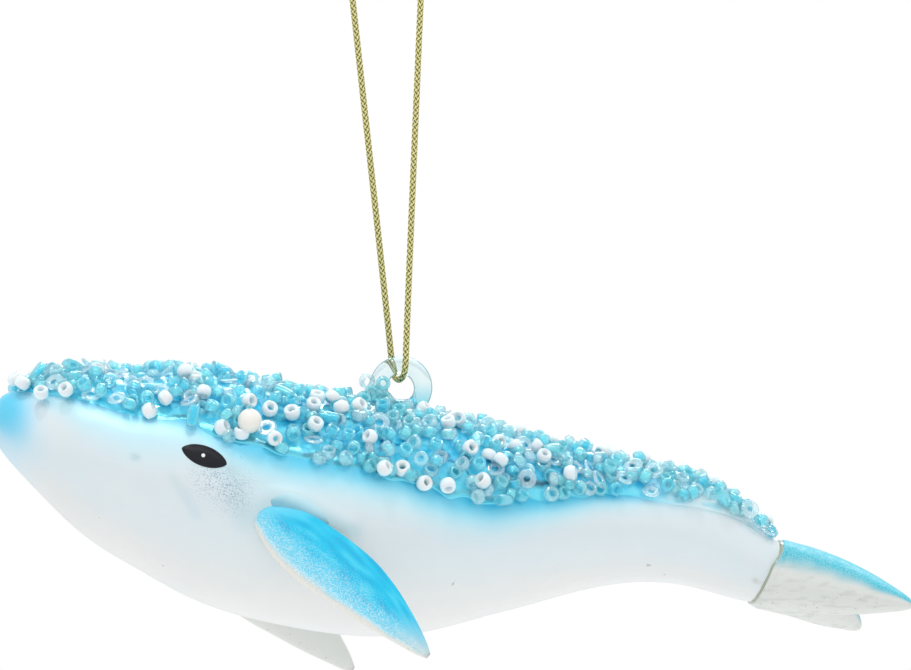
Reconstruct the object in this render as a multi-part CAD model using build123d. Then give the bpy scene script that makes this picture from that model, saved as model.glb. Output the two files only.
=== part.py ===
from build123d import *
import math
import os
import random

os.makedirs("parts", exist_ok=True)

# Hanging ornament: a blown glass whale with glued fins, its back covered with glass beads.
# Nose toward -X, tail toward +X, left side toward -Y, up is +Z, all in millimetres.
# The origin is the hanging point, on the inside of the top of the cord loop.
# The whale's own pieces are drawn from the tip of its nose and hung in place at the end.

# Glass body, from the tip of the nose to the cut end of the tail neck
body_length = 121.6
body_height = 35.4
body_width = 34.8
wall = 1.0
neck_tilt = 21.8

# Sections of the body: along the length, height of the centre, height, width, tilt of the neck
station_shares = [
    (0.0026, -0.002, 0.106, 0.109, 0.0),
    (0.013, -0.006, 0.234, 0.245, 0.0),
    (0.036, -0.037, 0.356, 0.380, 0.0),
    (0.078, -0.092, 0.543, 0.573, 0.0),
    (0.136, -0.165, 0.728, 0.755, 0.0),
    (0.208, -0.235, 0.877, 0.891, 0.0),
    (0.292, -0.310, 0.986, 0.973, 0.0),
    (0.376, -0.373, 1.000, 1.000, 0.0),
    (0.454, -0.413, 0.995, 0.982, 0.0),
    (0.532, -0.430, 0.948, 0.918, 0.0),
    (0.610, -0.428, 0.829, 0.800, 0.0),
    (0.687, -0.423, 0.697, 0.673, 0.0),
    (0.765, -0.418, 0.564, 0.545, 0.0),
    (0.830, -0.423, 0.492, 0.477, 0.0),
    (0.895, -0.462, 0.439, 0.427, 0.28),
    (0.950, -0.543, 0.369, 0.373, 0.64),
    (1.000, -0.627, 0.283, 0.309, 1.0),
]

# Glass ring on the back
ring_outer = 9.9
ring_tube = 2.9
ring_seat = 0.66
ring_along_share = 0.52

# Gold cord, knotted into a loop above the view
cord_diameter = 1.0
cord_ring_clearance = 0.1
loop_height = 80.0
loop_lean = 2.6
knot_diameter = 2.7
knot_length = 3.2
tail_length = 5.0
tail_spread = 24
knot_round_share = 0.42
cord_arc_share = 0.45

# Route of the cord: knot, over the hanger, down the left strand, through the ring and back up
cord_route = [
    (-0.4, 0.0, 0.6),
    (-3.0, 0.0, 0.4),
    (-6.4, 0.0, -3.4),
    (1.45, 2.05, -78.6),
    (2.85, -2.05, -78.6),
    (6.2, 0.0, -3.2),
    (3.0, 0.0, 0.4),
    (0.4, 0.0, 0.6),
]

# Cast fins
flipper_length = 35.4
flipper_width = 9.6
flipper_thickness = 3.6
flipper_inset = 1.6
fluke_length = 19.4
fluke_span = 38.0
fluke_root_height = 11.4
fluke_root_width = 13.6
fluke_turn = 3.2
fluke_roll = 2.5
collar_length = 1.2
spigot_length = 6.0

# Each flipper as it was glued on: along the body, angle of its root from the top as a share of a
# half turn, and which way it points: back, outward and up. The right one sits lower and flatter.
left_flipper_shares = (0.318, 0.532, (0.682, 0.345, -0.645))
right_flipper_shares = (0.279, 0.655, (0.752, 0.408, -0.518))

# Flipper sections: along, chord, thickness, bow toward the trailing edge
flipper_shares = [
    (-0.06, 0.24, 0.55, -0.010),
    (0.00, 0.34, 0.80, -0.006),
    (0.09, 0.65, 0.95, 0.000),
    (0.20, 0.90, 1.00, 0.004),
    (0.32, 1.00, 1.00, 0.010),
    (0.44, 1.00, 0.95, 0.020),
    (0.56, 0.93, 0.86, 0.028),
    (0.68, 0.79, 0.74, 0.026),
    (0.79, 0.60, 0.60, 0.020),
    (0.89, 0.39, 0.44, 0.012),
    (0.96, 0.21, 0.28, 0.004),
]

# Fluke lobe sections: back, outward, up, half chord, half height, turn outward in degrees
lobe_shares = [
    (0.28, 0.19, 0.04, 0.80, 0.86, 22),
    (0.60, 0.51, 0.05, 0.56, 0.60, 40),
    (0.83, 0.79, 0.05, 0.33, 0.30, 46),
    (0.95, 0.94, 0.045, 0.15, 0.12, 46),
]
lobe_tip_shares = (1.0, 1.0, 0.04)

# Fits and thin layers
seat_clearance = 0.05
coat_clearance = 0.02
spigot_clearance = 0.15
seam_gap = 0.35
seam_bulge = 0.12
flipper_glue_rim = 0.7
flipper_glue_height = 0.4
glue_thickness = 0.25
enamel_thickness = 0.14

# Painted eyes
eye_length = 7.3
eye_height = 3.7
eye_slant = -20
eye_along_share = 0.251
eye_side_angle = 79
glint_diameter = 0.85
glint_shift_share = 0.03

# Beads: diameter, length along the hole, hole
white_bead = 2.5
white_bead_length = 1.8
white_bead_hole = 0.8
aqua_bead = 2.3
aqua_bead_length = 1.6
aqua_bead_hole = 0.9
clear_bead = 2.5
clear_bead_length = 1.5
clear_bead_hole = 0.9
sequin = 3.2
sequin_thickness = 0.5
sequin_hole = 0.9
bugle = 1.9
bugle_length = 3.5
bugle_hole = 0.8
pearl = 3.7
pearl_hole = 0.8
bead_clearance = 0.07
bead_pile = 2.1
ring_pile = 1.2
bead_tries = 26000
bead_seed = 11
ring_balls = 28
flat_balls = 10
long_balls = 4
long_ball_share = 1.1
dense_share = 0.86
edge_odds_share = 0.03
flat_pile_share = 0.1
glue_edge_share = 0.001
slope_step_share = 0.01
set_bead_lean = (10, 70)
bead_zone_ends_share = (0.03, 0.99)

# Bead kinds poured at random: share of the pour, least and greatest lean of the hole in degrees
bead_mix_shares = [
    ("aqua_seed_beads", 0.40, 0, 90),
    ("clear_seed_beads", 0.20, 0, 80),
    ("clear_sequins", 0.20, 5, 50),
    ("white_seed_beads", 0.07, 0, 80),
    ("aqua_bugle_beads", 0.13, 55, 90),
]

# Lower edge of the beaded back: along the body, angle down from the top as a share of a half turn
bead_zone_shares = [
    (0.030, 0.12),
    (0.065, 0.235),
    (0.105, 0.30),
    (0.170, 0.325),
    (0.240, 0.33),
    (0.290, 0.365),
    (0.360, 0.375),
    (0.430, 0.37),
    (0.500, 0.385),
    (0.560, 0.425),
    (0.620, 0.445),
    (0.700, 0.41),
    (0.760, 0.365),
    (0.820, 0.35),
    (0.880, 0.34),
    (0.930, 0.26),
    (0.985, 0.20),
]

# Beads set by hand: along the body, angle from the top as a share of a half turn, left is negative
pearl_place_shares = [(0.306, -0.315), (0.585, 0.24), (0.16, 0.17)]
white_place_shares = [
    (0.034, -0.05),
    (0.040, -0.16),
    (0.060, -0.27),
    (0.088, -0.27),
    (0.235, -0.13),
    (0.254, -0.23),
    (0.309, -0.235),
    (0.334, -0.25),
    (0.337, -0.345),
    (0.362, -0.245),
    (0.392, -0.19),
    (0.421, -0.12),
    (0.453, -0.15),
    (0.541, -0.07),
    (0.473, -0.375),
    (0.553, -0.405),
    (0.600, -0.38),
    (0.566, -0.16),
    (0.588, -0.27),
    (0.627, -0.295),
    (0.668, -0.03),
    (0.777, -0.06),
    (0.800, 0.02),
    (0.830, -0.02),
    (0.916, 0.0),
    (0.957, 0.01),
    (0.985, 0.0),
]

# Sizes that follow from the ones above
ring_radius = (ring_outer - ring_tube) / 2
neck_height = station_shares[-1][2] * body_height
neck_width = station_shares[-1][3] * body_width


def station(along_share):
    """Centre height, half height and half width of the glass at a place along the body."""
    rows = station_shares
    before = rows[0]
    after = rows[-1]
    for low, high in zip(rows, rows[1:]):
        if low[0] <= along_share <= high[0]:
            before, after = low, high
    part = (along_share - before[0]) / (after[0] - before[0])
    part = min(max(part, 0), 1)
    rise, height, width = (low + (high - low) * part for low, high in zip(before[1:4], after[1:4]))
    return rise * body_height, height * body_height / 2, width * body_width / 2


def side_point(along_share, angle_share):
    """Point on the glass, its angle measured from the top as a share of a half turn."""
    centre, half_height, half_width = station(along_share)
    angle = math.pi * angle_share
    across = half_width * math.sin(angle)
    rise = centre + half_height * math.cos(angle)
    return Vector(along_share * body_length, across, rise)


def side_normal(along_share, angle_share):
    """Direction straight out of the glass at such a point."""
    ahead = side_point(along_share + slope_step_share, angle_share)
    behind = side_point(along_share - slope_step_share, angle_share)
    over = side_point(along_share, angle_share + slope_step_share)
    under = side_point(along_share, angle_share - slope_step_share)
    return (ahead - behind).cross(over - under).normalized()


def side_angle_share(spot):
    """Angle of a point from the top of its section, as a share of a half turn."""
    centre, half_height, half_width = station(spot.X / body_length)
    return abs(math.atan2(spot.Y / half_width, (spot.Z - centre) / half_height)) / math.pi


def body_solid(grow):
    """The outer shape of the glass, grown outward by a thickness."""
    rows = [
        (x * body_length, z * body_height, high * body_height / 2, wide * body_width / 2, tilt * neck_tilt)
        for x, z, high, wide, tilt in station_shares
    ]
    before = (0, 0, 0, 0, 0)
    sections = [Vertex(-grow, 0, 0)]
    for row, after in zip(rows, rows[1:] + rows[-1:]):
        x, z, half_height, half_width, tilt = row
        slope = math.atan2(after[2] - before[2], after[0] - before[0])
        back = 0 if row is rows[-1] else grow * math.sin(slope)
        out = grow * math.cos(slope)
        down = math.radians(tilt)
        axis = (math.cos(down), 0, -math.sin(down))
        plane = Plane(origin=(x - back, 0, z), x_dir=(0, 1, 0), z_dir=axis)
        sections.append(plane * Ellipse(half_width + out, half_height + out))
        before = row
    return loft(sections)


def neck_plane(back):
    """Plane across the tail neck, moved back along the neck's axis."""
    tilt = math.radians(neck_tilt)
    axis = Vector(math.cos(tilt), 0, -math.sin(tilt))
    end = Vector(body_length, 0, station_shares[-1][1] * body_height)
    return Plane(origin=end + axis * back, x_dir=(0, 1, 0), z_dir=axis)


def make_ring():
    top = side_point(ring_along_share, 0)
    centre = Vector(top.X, 0, top.Z + ring_outer / 2 - ring_seat)
    whole = Pos(centre) * Rot(90, 0, 0) * Torus(ring_radius, ring_tube / 2)
    return centre, whole


def make_flipper(side, place_shares, grow):
    """A flipper: leaf shaped sections along a straight line, bowed toward the trailing edge."""
    along_share, angle_share, (back, out, up) = place_shares
    line = Vector(back, side * out, up).normalized()
    outward = Vector(0, side, 0) - line * (side * line.Y)
    chord_way = line.cross(outward).normalized() * -side
    root = side_point(along_share, side * angle_share) - Vector(0, side * flipper_inset, 0)
    sections = []
    for along, chord, thick, bow in flipper_shares:
        centre = root + line * (along * flipper_length) - chord_way * (bow * flipper_length)
        plane = Plane(origin=centre, x_dir=chord_way, z_dir=line)
        half_chord = chord * flipper_width / 2 + grow
        sections.append(plane * Ellipse(half_chord, thick * flipper_thickness / 2 + grow))
    if grow:
        return loft(sections[:4])
    sections.append(Vertex(*(root + line * flipper_length)))
    return loft(sections)


def glued_flipper(side, place_shares):
    """A flipper cut to the curve of the glass, and the rim of glue round its root."""
    blank = make_flipper(side, place_shares, 0)
    around = make_flipper(side, place_shares, flipper_glue_rim)
    rim = around & (body_solid(flipper_glue_height) - body_solid(seat_clearance))
    band = rim - blank
    return blank - body_solid(seat_clearance), band.solids().sort_by(SortBy.VOLUME)[-1]


def make_fluke():
    """Tail fluke: two fat lobes swept back, a collar round the neck and a peg in its bore.

    The lobes sit a little askew on the neck, turned and rolled, as they were glued."""
    root = neck_plane(seam_gap)
    askew = root * Rot(0, -fluke_turn, -fluke_roll)
    half_span = fluke_span / 2
    lobes = []
    for side in (-1, 1):
        sections = [root * Ellipse(fluke_root_width / 2, fluke_root_height / 2)]
        for back, out, up, chord, height, turn in lobe_shares:
            spot = askew * Pos(side * out * half_span, up * fluke_root_height, back * fluke_length)
            outline = Ellipse(chord * fluke_root_width / 2, height * fluke_root_height / 2)
            sections.append(spot * Rot(0, side * turn, 0) * outline)
        back, out, up = lobe_tip_shares
        tip = askew * Pos(side * out * half_span, up * fluke_root_height, back * fluke_length)
        sections.append(Vertex(*tip.position))
        lobes.append(loft(sections))
    whole = lobes[0] + lobes[1]

    collar_face = root * Ellipse(fluke_root_width / 2, fluke_root_height / 2)
    collar = extrude(collar_face, amount=-(collar_length + seam_gap))
    high = root * Pos(0, fluke_root_height, -collar_length - seam_gap)
    lean = math.degrees(math.atan2(collar_length, fluke_root_height / 2))
    cutter = high * Rot(-lean, 0, 0) * Box(fluke_root_width * 2, fluke_root_height * 3, collar_length * 2)
    collar = collar - body_solid(seat_clearance) - cutter

    spigot_face = neck_plane(seam_gap) * Ellipse(
        neck_width / 2 - wall - spigot_clearance, neck_height / 2 - wall - spigot_clearance)
    spigot = extrude(spigot_face, amount=-(spigot_length + seam_gap))
    return whole, collar, spigot


def glue_band():
    """Side view outline of the beaded back, from the zone's lower edge up."""
    low_edge = [side_point(along, angle) for along, angle in bead_zone_shares]
    above = body_height
    corners = [(spot.X, spot.Z) for spot in low_edge]
    corners += [(low_edge[-1].X, above), (low_edge[0].X, above)]
    return extrude(Plane.XZ * make_face(Polyline(*corners, close=True)), amount=body_width, both=True)


def make_eye(skin, glint_skin):
    """Left eye: an almond of enamel on the glass, and the white dot on it."""
    bow = (eye_length ** 2 + eye_height ** 2) / (4 * eye_height)
    lift = bow - eye_height / 2
    almond = (Pos(0, lift) * Circle(bow)) & (Pos(0, -lift) * Circle(bow))
    spot = side_point(eye_along_share, -eye_side_angle / 180)
    view = Plane.XZ * Pos(spot.X, spot.Z) * Rot(0, 0, eye_slant)
    eye = extrude(view * almond, amount=body_width) & skin
    dot = view * Pos(-glint_shift_share * eye_length, 0) * Circle(glint_diameter / 2)
    glint = extrude(dot, amount=body_width) & glint_skin
    return eye, glint


def ring_bead(outer, length, hole):
    """A glass bead: a short tube with round ends, its hole along Z."""
    width = (outer - hole) / 2
    middle = (outer + hole) / 4
    if length > width:
        outline = Rot(0, 0, 90) * SlotOverall(length, width)
    else:
        outline = SlotOverall(width, length)
    return revolve(Plane.XZ * Pos(middle, 0) * outline, Axis.Z)


def round_reach(outer, length, hole):
    """One ball that holds a round bead."""
    width = (outer - hole) / 2
    straight = max(length - width, 0) / 2
    corner = math.hypot(outer / 2, straight)
    rim = math.hypot((outer + hole) / 4, length / 2)
    return [(Vector(0, 0, 0), max(corner, rim))]


def flat_reach(outer, hole):
    """A circle of small balls that holds a flat sequin, and one over its hole."""
    ball = hole / 2
    middle = outer / 2 - ball
    turns = [2 * math.pi * step / flat_balls for step in range(flat_balls)]
    return [(Vector(0, 0, 0), ball)] + [
        (Vector(middle * math.cos(turn), middle * math.sin(turn), 0), ball) for turn in turns]


def long_reach(outer, length):
    """A row of balls that holds a bugle bead."""
    ball = outer / 2 * long_ball_share
    end = length / 2 - outer / 4
    places = [-end + 2 * end * step / (long_balls - 1) for step in range(long_balls)]
    return [(Vector(0, 0, place), ball) for place in places]


def resting_height(foot, normal, balls, held):
    """How far from the glass a bead rests when it is pushed down, and how far with nothing in its way.

    A bead is a few balls around its foot on the glass, and so is each bead that lies there already."""
    (foot_x, foot_y, foot_z), (way_x, way_y, way_z) = foot, normal
    ground = max(glue_thickness + bead_clearance + ball - (x * way_x + y * way_y + z * way_z)
                 for x, y, z, ball in balls)
    height = ground
    for other_x, other_y, other_z, other_ball in held:
        side_x, side_y, side_z = foot_x - other_x, foot_y - other_y, foot_z - other_z
        for x, y, z, ball in balls:
            apart_x, apart_y, apart_z = side_x + x, side_y + y, side_z + z
            along = apart_x * way_x + apart_y * way_y + apart_z * way_z
            across = apart_x * apart_x + apart_y * apart_y + apart_z * apart_z - along * along
            touch = ball + other_ball + bead_clearance
            if across < touch * touch:
                height = max(height, math.sqrt(touch * touch - across) - along)
    return height, ground


def place_beads(glass, ring_centre):
    """Beads poured on the glued back, one at a time: hand set ones first, then at random."""
    dice = random.Random(bead_seed)
    reach = {
        "white_seed_beads": round_reach(white_bead, white_bead_length, white_bead_hole),
        "aqua_seed_beads": round_reach(aqua_bead, aqua_bead_length, aqua_bead_hole),
        "clear_seed_beads": round_reach(clear_bead, clear_bead_length, clear_bead_hole),
        "clear_sequins": flat_reach(sequin, sequin_hole),
        "aqua_bugle_beads": long_reach(bugle, bugle_length),
        "pearl_beads": [(Vector(0, 0, 0), pearl / 2)],
    }
    cell = bugle_length + sequin
    boxes = {}
    placed = {name: [] for name in reach}

    def box_of(spot):
        return math.floor(spot[0] / cell), math.floor(spot[1] / cell)

    def keep(x, y, z, ball):
        boxes.setdefault(box_of((x, y)), []).append((x, y, z, ball))

    def near(spot):
        column, row = box_of(spot)
        return [ball for across in (-1, 0, 1) for along in (-1, 0, 1)
                for ball in boxes.get((column + across, row + along), [])]

    def settle(name, foot, normal, way, pile_share):
        """Push one bead down on the glue or on its neighbours, and keep it if it isn't piled too high."""
        plane = Plane(origin=(0, 0, 0), z_dir=way)
        balls = [(*plane.from_local_coords(place), ball) for place, ball in reach[name]]
        height, ground = resting_height(tuple(foot), tuple(normal), balls, near(tuple(foot)))
        if height > ground + max(bead_pile - ground, 0) * pile_share:
            return
        centre = foot + normal * height
        if (centre - ring_centre).length < ring_outer and centre.Z > ring_centre.Z + ring_pile:
            return
        for x, y, z, ball in balls:
            keep(centre.X + x, centre.Y + y, centre.Z + z, ball)
        placed[name].append(Plane(origin=centre, z_dir=way).location)

    def leaning(normal, low, high):
        """A random direction that leans from the normal by an angle between two."""
        tilt = math.radians(dice.uniform(low, high))
        spin = dice.uniform(0, 2 * math.pi)
        flat = Plane(origin=(0, 0, 0), z_dir=normal)
        across = flat.x_dir * math.cos(spin) + flat.y_dir * math.sin(spin)
        return across * math.sin(tilt) + normal * math.cos(tilt)

    for step in range(ring_balls):
        turn = 2 * math.pi * step / ring_balls
        spot = ring_centre + Vector(math.cos(turn), 0, math.sin(turn)) * ring_radius
        keep(spot.X, spot.Y, spot.Z, ring_tube / 2)

    curved = [face for face in glass.faces() if face.geom_type == GeomType.BSPLINE]
    skins = sorted(curved, key=lambda face: -face.area)
    for name, set_places in (("pearl_beads", pearl_place_shares), ("white_seed_beads", white_place_shares)):
        for along_share, angle_share in set_places:
            above = side_point(along_share, angle_share) + side_normal(along_share, angle_share) * bead_pile
            foot = glass.distance_to_with_closest_points(above)[1]
            normal = (above - foot).normalized()
            settle(name, foot, normal, leaning(normal, *set_bead_lean), 1)

    big_share = skins[0].area / sum(face.area for face in skins)
    names = [name for name, _, _, _ in bead_mix_shares]
    weights = [weight for _, weight, _, _ in bead_mix_shares]
    leans = {name: (low, high) for name, _, low, high in bead_mix_shares}
    for count in range(bead_tries):
        skin = skins[0] if dice.random() < big_share else skins[1]
        around, along = dice.random(), dice.uniform(*bead_zone_ends_share)
        name = dice.choices(names, weights)[0]
        odds = dice.random()
        foot = skin.position_at(around, along)
        part = side_angle_share(foot) / max(zone_limit(foot.X / body_length), glue_edge_share)
        if part > 1 or part > dense_share and odds > edge_odds_share:
            continue
        normal = skin.normal_at(around, along)
        pile_share = 1 if count > bead_tries / 2 else flat_pile_share
        settle(name, foot, normal, leaning(normal, *leans[name]), pile_share)
    return placed


def zone_limit(along_share):
    """Angle of the beaded zone's lower edge at a place along the body."""
    if not bead_zone_shares[0][0] <= along_share <= bead_zone_shares[-1][0]:
        return 0
    for (low, low_angle), (high, high_angle) in zip(bead_zone_shares, bead_zone_shares[1:]):
        if low <= along_share <= high:
            return low_angle + (high_angle - low_angle) * (along_share - low) / (high - low)
    return 0


def make_cord():
    """The loop of cord, from inside the knot down the left strand, through the ring and back."""
    points = [Vector(*spot) for spot in cord_route]
    radii = []
    for before, here, after in zip(points, points[1:], points[2:]):
        turn = math.radians((here - before).get_angle(after - here))
        shorter = min((here - before).length, (after - here).length)
        radii.append(cord_arc_share * shorter / math.tan(turn / 2))
    middle = len(radii) // 2
    for corner in (middle - 1, middle):
        radii[corner] = ring_tube / 2 + cord_diameter / 2 + cord_ring_clearance
    print("cord radii", [round(radius, 2) for radius in radii])
    path = FilletPolyline(*points, radius=radii)
    section = Plane(origin=path @ 0, z_dir=path % 0) * Circle(cord_diameter / 2)
    tube = sweep(section, path=path)
    print("cord length", round(path.length, 2), "volume ratio",
          round(tube.volume / (path.length * math.pi * cord_diameter ** 2 / 4), 4))
    return tube


def make_knot():
    """Overhand knot above the hanging point, with the two cut ends of the cord standing out of it."""
    lump = Cylinder(knot_diameter / 2, knot_length)
    lump = fillet(lump.edges(), knot_diameter * knot_round_share)
    knot = Pos(0, 0, knot_length / 2) * lump
    for lean_way in (-1, 1):
        tail = Pos(0, 0, tail_length / 2) * Cylinder(cord_diameter / 2, tail_length)
        knot += Pos(0, 0, knot_length - cord_diameter) * Rot(0, lean_way * tail_spread, 0) * tail
    return knot


# The glass and what is fused or glued to it
glass = body_solid(0)
ring_centre, ring_whole = make_ring()
body_shell = glass - body_solid(-wall)
hanging_ring = ring_whole - body_solid(seat_clearance)

left_flipper, left_flipper_glue = glued_flipper(-1, left_flipper_shares)
right_flipper, right_flipper_glue = glued_flipper(1, right_flipper_shares)

lobes, collar, spigot = make_fluke()
tail_fluke = lobes + collar + spigot
seam_disc = neck_plane(0) * Ellipse(neck_width / 2 + seam_bulge, neck_height / 2 + seam_bulge)
tail_glue_seam = extrude(seam_disc, amount=seam_gap) - tail_fluke

coat = (glue_band() & body_solid(glue_thickness)) - body_solid(coat_clearance)
bead_glue = coat - Pos(ring_centre) * Rot(90, 0, 0) * Torus(ring_radius, ring_tube / 2 + seat_clearance)

eye_skin = body_solid(enamel_thickness) - body_solid(coat_clearance)
glint_skin = body_solid(enamel_thickness * 2) - body_solid(enamel_thickness + coat_clearance)
left_eye, left_eye_glint = make_eye(eye_skin, glint_skin)

beads = {
    "white_seed_beads": ring_bead(white_bead, white_bead_length, white_bead_hole),
    "aqua_seed_beads": ring_bead(aqua_bead, aqua_bead_length, aqua_bead_hole),
    "clear_seed_beads": ring_bead(clear_bead, clear_bead_length, clear_bead_hole),
    "clear_sequins": ring_bead(sequin, sequin_thickness, sequin_hole),
    "aqua_bugle_beads": ring_bead(bugle, bugle_length, bugle_hole),
    "pearl_beads": Sphere(pearl / 2) - Cylinder(pearl_hole / 2, pearl),
}

whale = {
    "body_shell": body_shell,
    "hanging_ring": hanging_ring,
    "left_flipper": left_flipper,
    "right_flipper": right_flipper,
    "left_flipper_glue": left_flipper_glue,
    "right_flipper_glue": right_flipper_glue,
    "tail_fluke": tail_fluke,
    "tail_glue_seam": tail_glue_seam,
    "bead_glue": bead_glue,
    "left_eye": left_eye,
    "right_eye": mirror(left_eye, about=Plane.XZ),
    "left_eye_glint": left_eye_glint,
    "right_eye_glint": mirror(left_eye_glint, about=Plane.XZ),
}
places = place_beads(glass, ring_centre)
for name, spots in places.items():
    print(name, len(spots))
    whale[name] = Compound([beads[name].moved(spot) for spot in spots])

# The whale hangs with its ring below the hanging point, the cord stays where it is drawn
hang = Pos(loop_lean - ring_centre.X, 0, -loop_height - ring_centre.Z)
cord_knot = make_knot()
pieces = {name: hang * piece for name, piece in whale.items()}
pieces["hanging_cord"] = make_cord() - cord_knot
pieces["cord_knot"] = cord_knot

for name, piece in pieces.items():
    export_step(piece, f"parts/{name}.step")
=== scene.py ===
import math
import random

import bpy
import numpy as np
from bpy.props import FloatProperty, FloatVectorProperty, IntProperty, PointerProperty
from mathutils import Matrix, Vector, noise
from mathutils.bvhtree import BVHTree
from mathutils.kdtree import KDTree


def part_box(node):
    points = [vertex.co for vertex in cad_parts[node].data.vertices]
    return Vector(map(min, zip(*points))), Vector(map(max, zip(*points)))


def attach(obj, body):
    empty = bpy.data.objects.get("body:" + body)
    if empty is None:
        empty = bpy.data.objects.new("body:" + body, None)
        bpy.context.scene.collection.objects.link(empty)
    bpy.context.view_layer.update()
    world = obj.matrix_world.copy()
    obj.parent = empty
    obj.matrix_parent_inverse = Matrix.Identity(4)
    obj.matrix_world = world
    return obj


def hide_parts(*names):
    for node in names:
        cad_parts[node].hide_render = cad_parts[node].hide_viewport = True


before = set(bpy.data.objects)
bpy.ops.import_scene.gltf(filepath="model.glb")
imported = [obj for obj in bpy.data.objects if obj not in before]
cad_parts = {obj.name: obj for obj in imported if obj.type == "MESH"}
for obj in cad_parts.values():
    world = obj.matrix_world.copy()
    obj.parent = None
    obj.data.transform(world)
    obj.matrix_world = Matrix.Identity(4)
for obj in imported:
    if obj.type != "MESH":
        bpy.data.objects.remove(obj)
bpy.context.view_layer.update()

bl_info = {
    "name": "Hanging glass whale",
    "version": (1, 0, 0),
    "blender": (4, 5, 0),
    "location": "3D View > Sidebar > Whale",
    "description": "Dresses the glass whale ornament with lacquer, beads, fins and cord",
    "category": "Object",
}

MM = 0.001
PHOTO_WIDTH = 911
PHOTO_HEIGHT = 670
SENSOR = 36.0

# What the camera looks at, and the place that the lamps point at, in metres
VIEW_MIDDLE = Vector((11.2 * MM, 0, -71.7 * MM))
LAMP_AIM = Vector((0, 0, -0.09))

# Soft lamps: name, setting of its power, place, width and depth in metres
LAMPS = [
    ("key_light", "key_power", (-0.10, -0.50, 0.60), (0.80, 0.06)),
    ("back_light", "rim_power", (0.15, 0.45, 0.45), (0.50, 0.20)),
    ("sparkle_light", "sparkle_power", (-0.12, -0.14, 0.60), (0.05, 0.05)),
]
SKY_COLOUR = (0.95, 0.98, 1.0, 1)
FLOOR_REACH = 3.0
FLOOR_COLOUR = (0.86, 0.87, 0.88)

# Glass body: along the length, height of the section's centre, tilt of the section at the neck
BODY_LENGTH = 121.6
BODY_HEIGHT = 35.4
NECK_TILT = math.radians(21.8)
SECTIONS = np.array([
    (0.0, 0.0, 0.0), (0.0026, -0.002, 0.0), (0.013, -0.006, 0.0), (0.036, -0.037, 0.0),
    (0.078, -0.092, 0.0), (0.136, -0.165, 0.0), (0.208, -0.235, 0.0), (0.292, -0.310, 0.0),
    (0.376, -0.373, 0.0), (0.454, -0.413, 0.0), (0.532, -0.430, 0.0), (0.610, -0.428, 0.0),
    (0.687, -0.423, 0.0), (0.765, -0.418, 0.0), (0.830, -0.423, 0.0), (0.895, -0.462, 0.28),
    (0.950, -0.543, 0.64), (1.0, -0.627, 1.0),
])

# Rays that find the glass start this far out from its middle
RAY_START = 0.06

# Lower edge of the beaded back: along the body, angle from the top as a share of a half turn
ZONE = np.array([
    (0.030, 0.12), (0.065, 0.235), (0.105, 0.30), (0.170, 0.325), (0.240, 0.33), (0.290, 0.365),
    (0.360, 0.375), (0.430, 0.37), (0.500, 0.385), (0.560, 0.425), (0.620, 0.445), (0.700, 0.41),
    (0.760, 0.365), (0.820, 0.35), (0.880, 0.34), (0.930, 0.26), (0.985, 0.20),
])

# Flipper: direction it points, then its sections along, chord, thickness and bow
FLIPPER_LENGTH = 35.4
FLIPPER_WIDTH = 9.6
FLIPPER_THICKNESS = 3.6
FLIPPER_WAYS = {"left_flipper": (0.682, -0.345, -0.645), "right_flipper": (0.752, 0.408, -0.518)}
FLIPPER_ROWS = np.array([
    (-0.06, 0.24, 0.55, -0.010), (0.00, 0.34, 0.80, -0.006), (0.09, 0.65, 0.95, 0.000),
    (0.20, 0.90, 1.00, 0.004), (0.32, 1.00, 1.00, 0.010), (0.44, 1.00, 0.95, 0.020),
    (0.56, 0.93, 0.86, 0.028), (0.68, 0.79, 0.74, 0.026), (0.79, 0.60, 0.60, 0.020),
    (0.89, 0.39, 0.44, 0.012), (0.96, 0.21, 0.28, 0.004), (0.99, 0.10, 0.14, 0.001),
])

# Front rim and groove of a flipper's outer face: place across it, width, height in millimetres
FLIPPER_RIM = (0.86, 0.09, 0.26)
FLIPPER_GROOVE = (0.64, 0.12, 0.16)

# Tail fluke: back, outward, up, half chord, half height, turn outward in degrees
FLUKE_LENGTH = 19.4
FLUKE_SPAN = 38.0
FLUKE_ROOT = (13.6, 11.4)
FLUKE_TURN = math.radians(3.2)
FLUKE_ROLL = math.radians(2.5)
SEAM_GAP = 0.35
LOBE_ROWS = np.array([
    (0.0, 0.0, 0.0, 1.0, 1.02, 0.0), (0.28, 0.19, 0.06, 0.81, 0.90, 22.0),
    (0.60, 0.51, 0.075, 0.58, 0.66, 40.0), (0.83, 0.79, 0.07, 0.36, 0.36, 46.0),
    (0.95, 0.94, 0.06, 0.18, 0.17, 46.0), (0.99, 0.99, 0.055, 0.08, 0.08, 46.0),
])

# Glass ring: its middle, the radius to the middle of the glass, and half the glass's thickness
RING_MIDDLE = Vector((2.6 * MM, 0, -80.0 * MM))
RING_RADIUS = 3.5 * MM
RING_TUBE = 1.45 * MM

# Shares by which the ring wavers in thickness, and by which its foot is thicker and wider still
RING_WAVER = 0.03
RING_FOOT = 0.22
RING_FOOT_WIDTH = 0.25

# Route of the cord in metres: knot, left strand, through the ring, right strand, knot
CORD_ROUTE = [
    (-0.0004, 0.0, 0.0006), (-0.003, 0.0, 0.0004), (-0.0068, 0.0, -0.0034), (-0.0062, 0.0001, -0.0094),
    (0.00125, 0.00205, -0.0726), (0.0018, 0.0023, -0.07875), (0.0029, -0.0023, -0.07875),
    (0.0031, -0.00205, -0.0726), (0.0061, -0.0001, -0.0092), (0.0064, 0.0, -0.0032),
    (0.003, 0.0, 0.0004), (0.0004, 0.0, 0.0006),
]
CORD_STEPS = 1300

# Radius of the braid where its strands part, as a share of the cord's, and what the strands add
BRAID_CORE = 0.80
BRAID_RELIEF = 0.22

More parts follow.
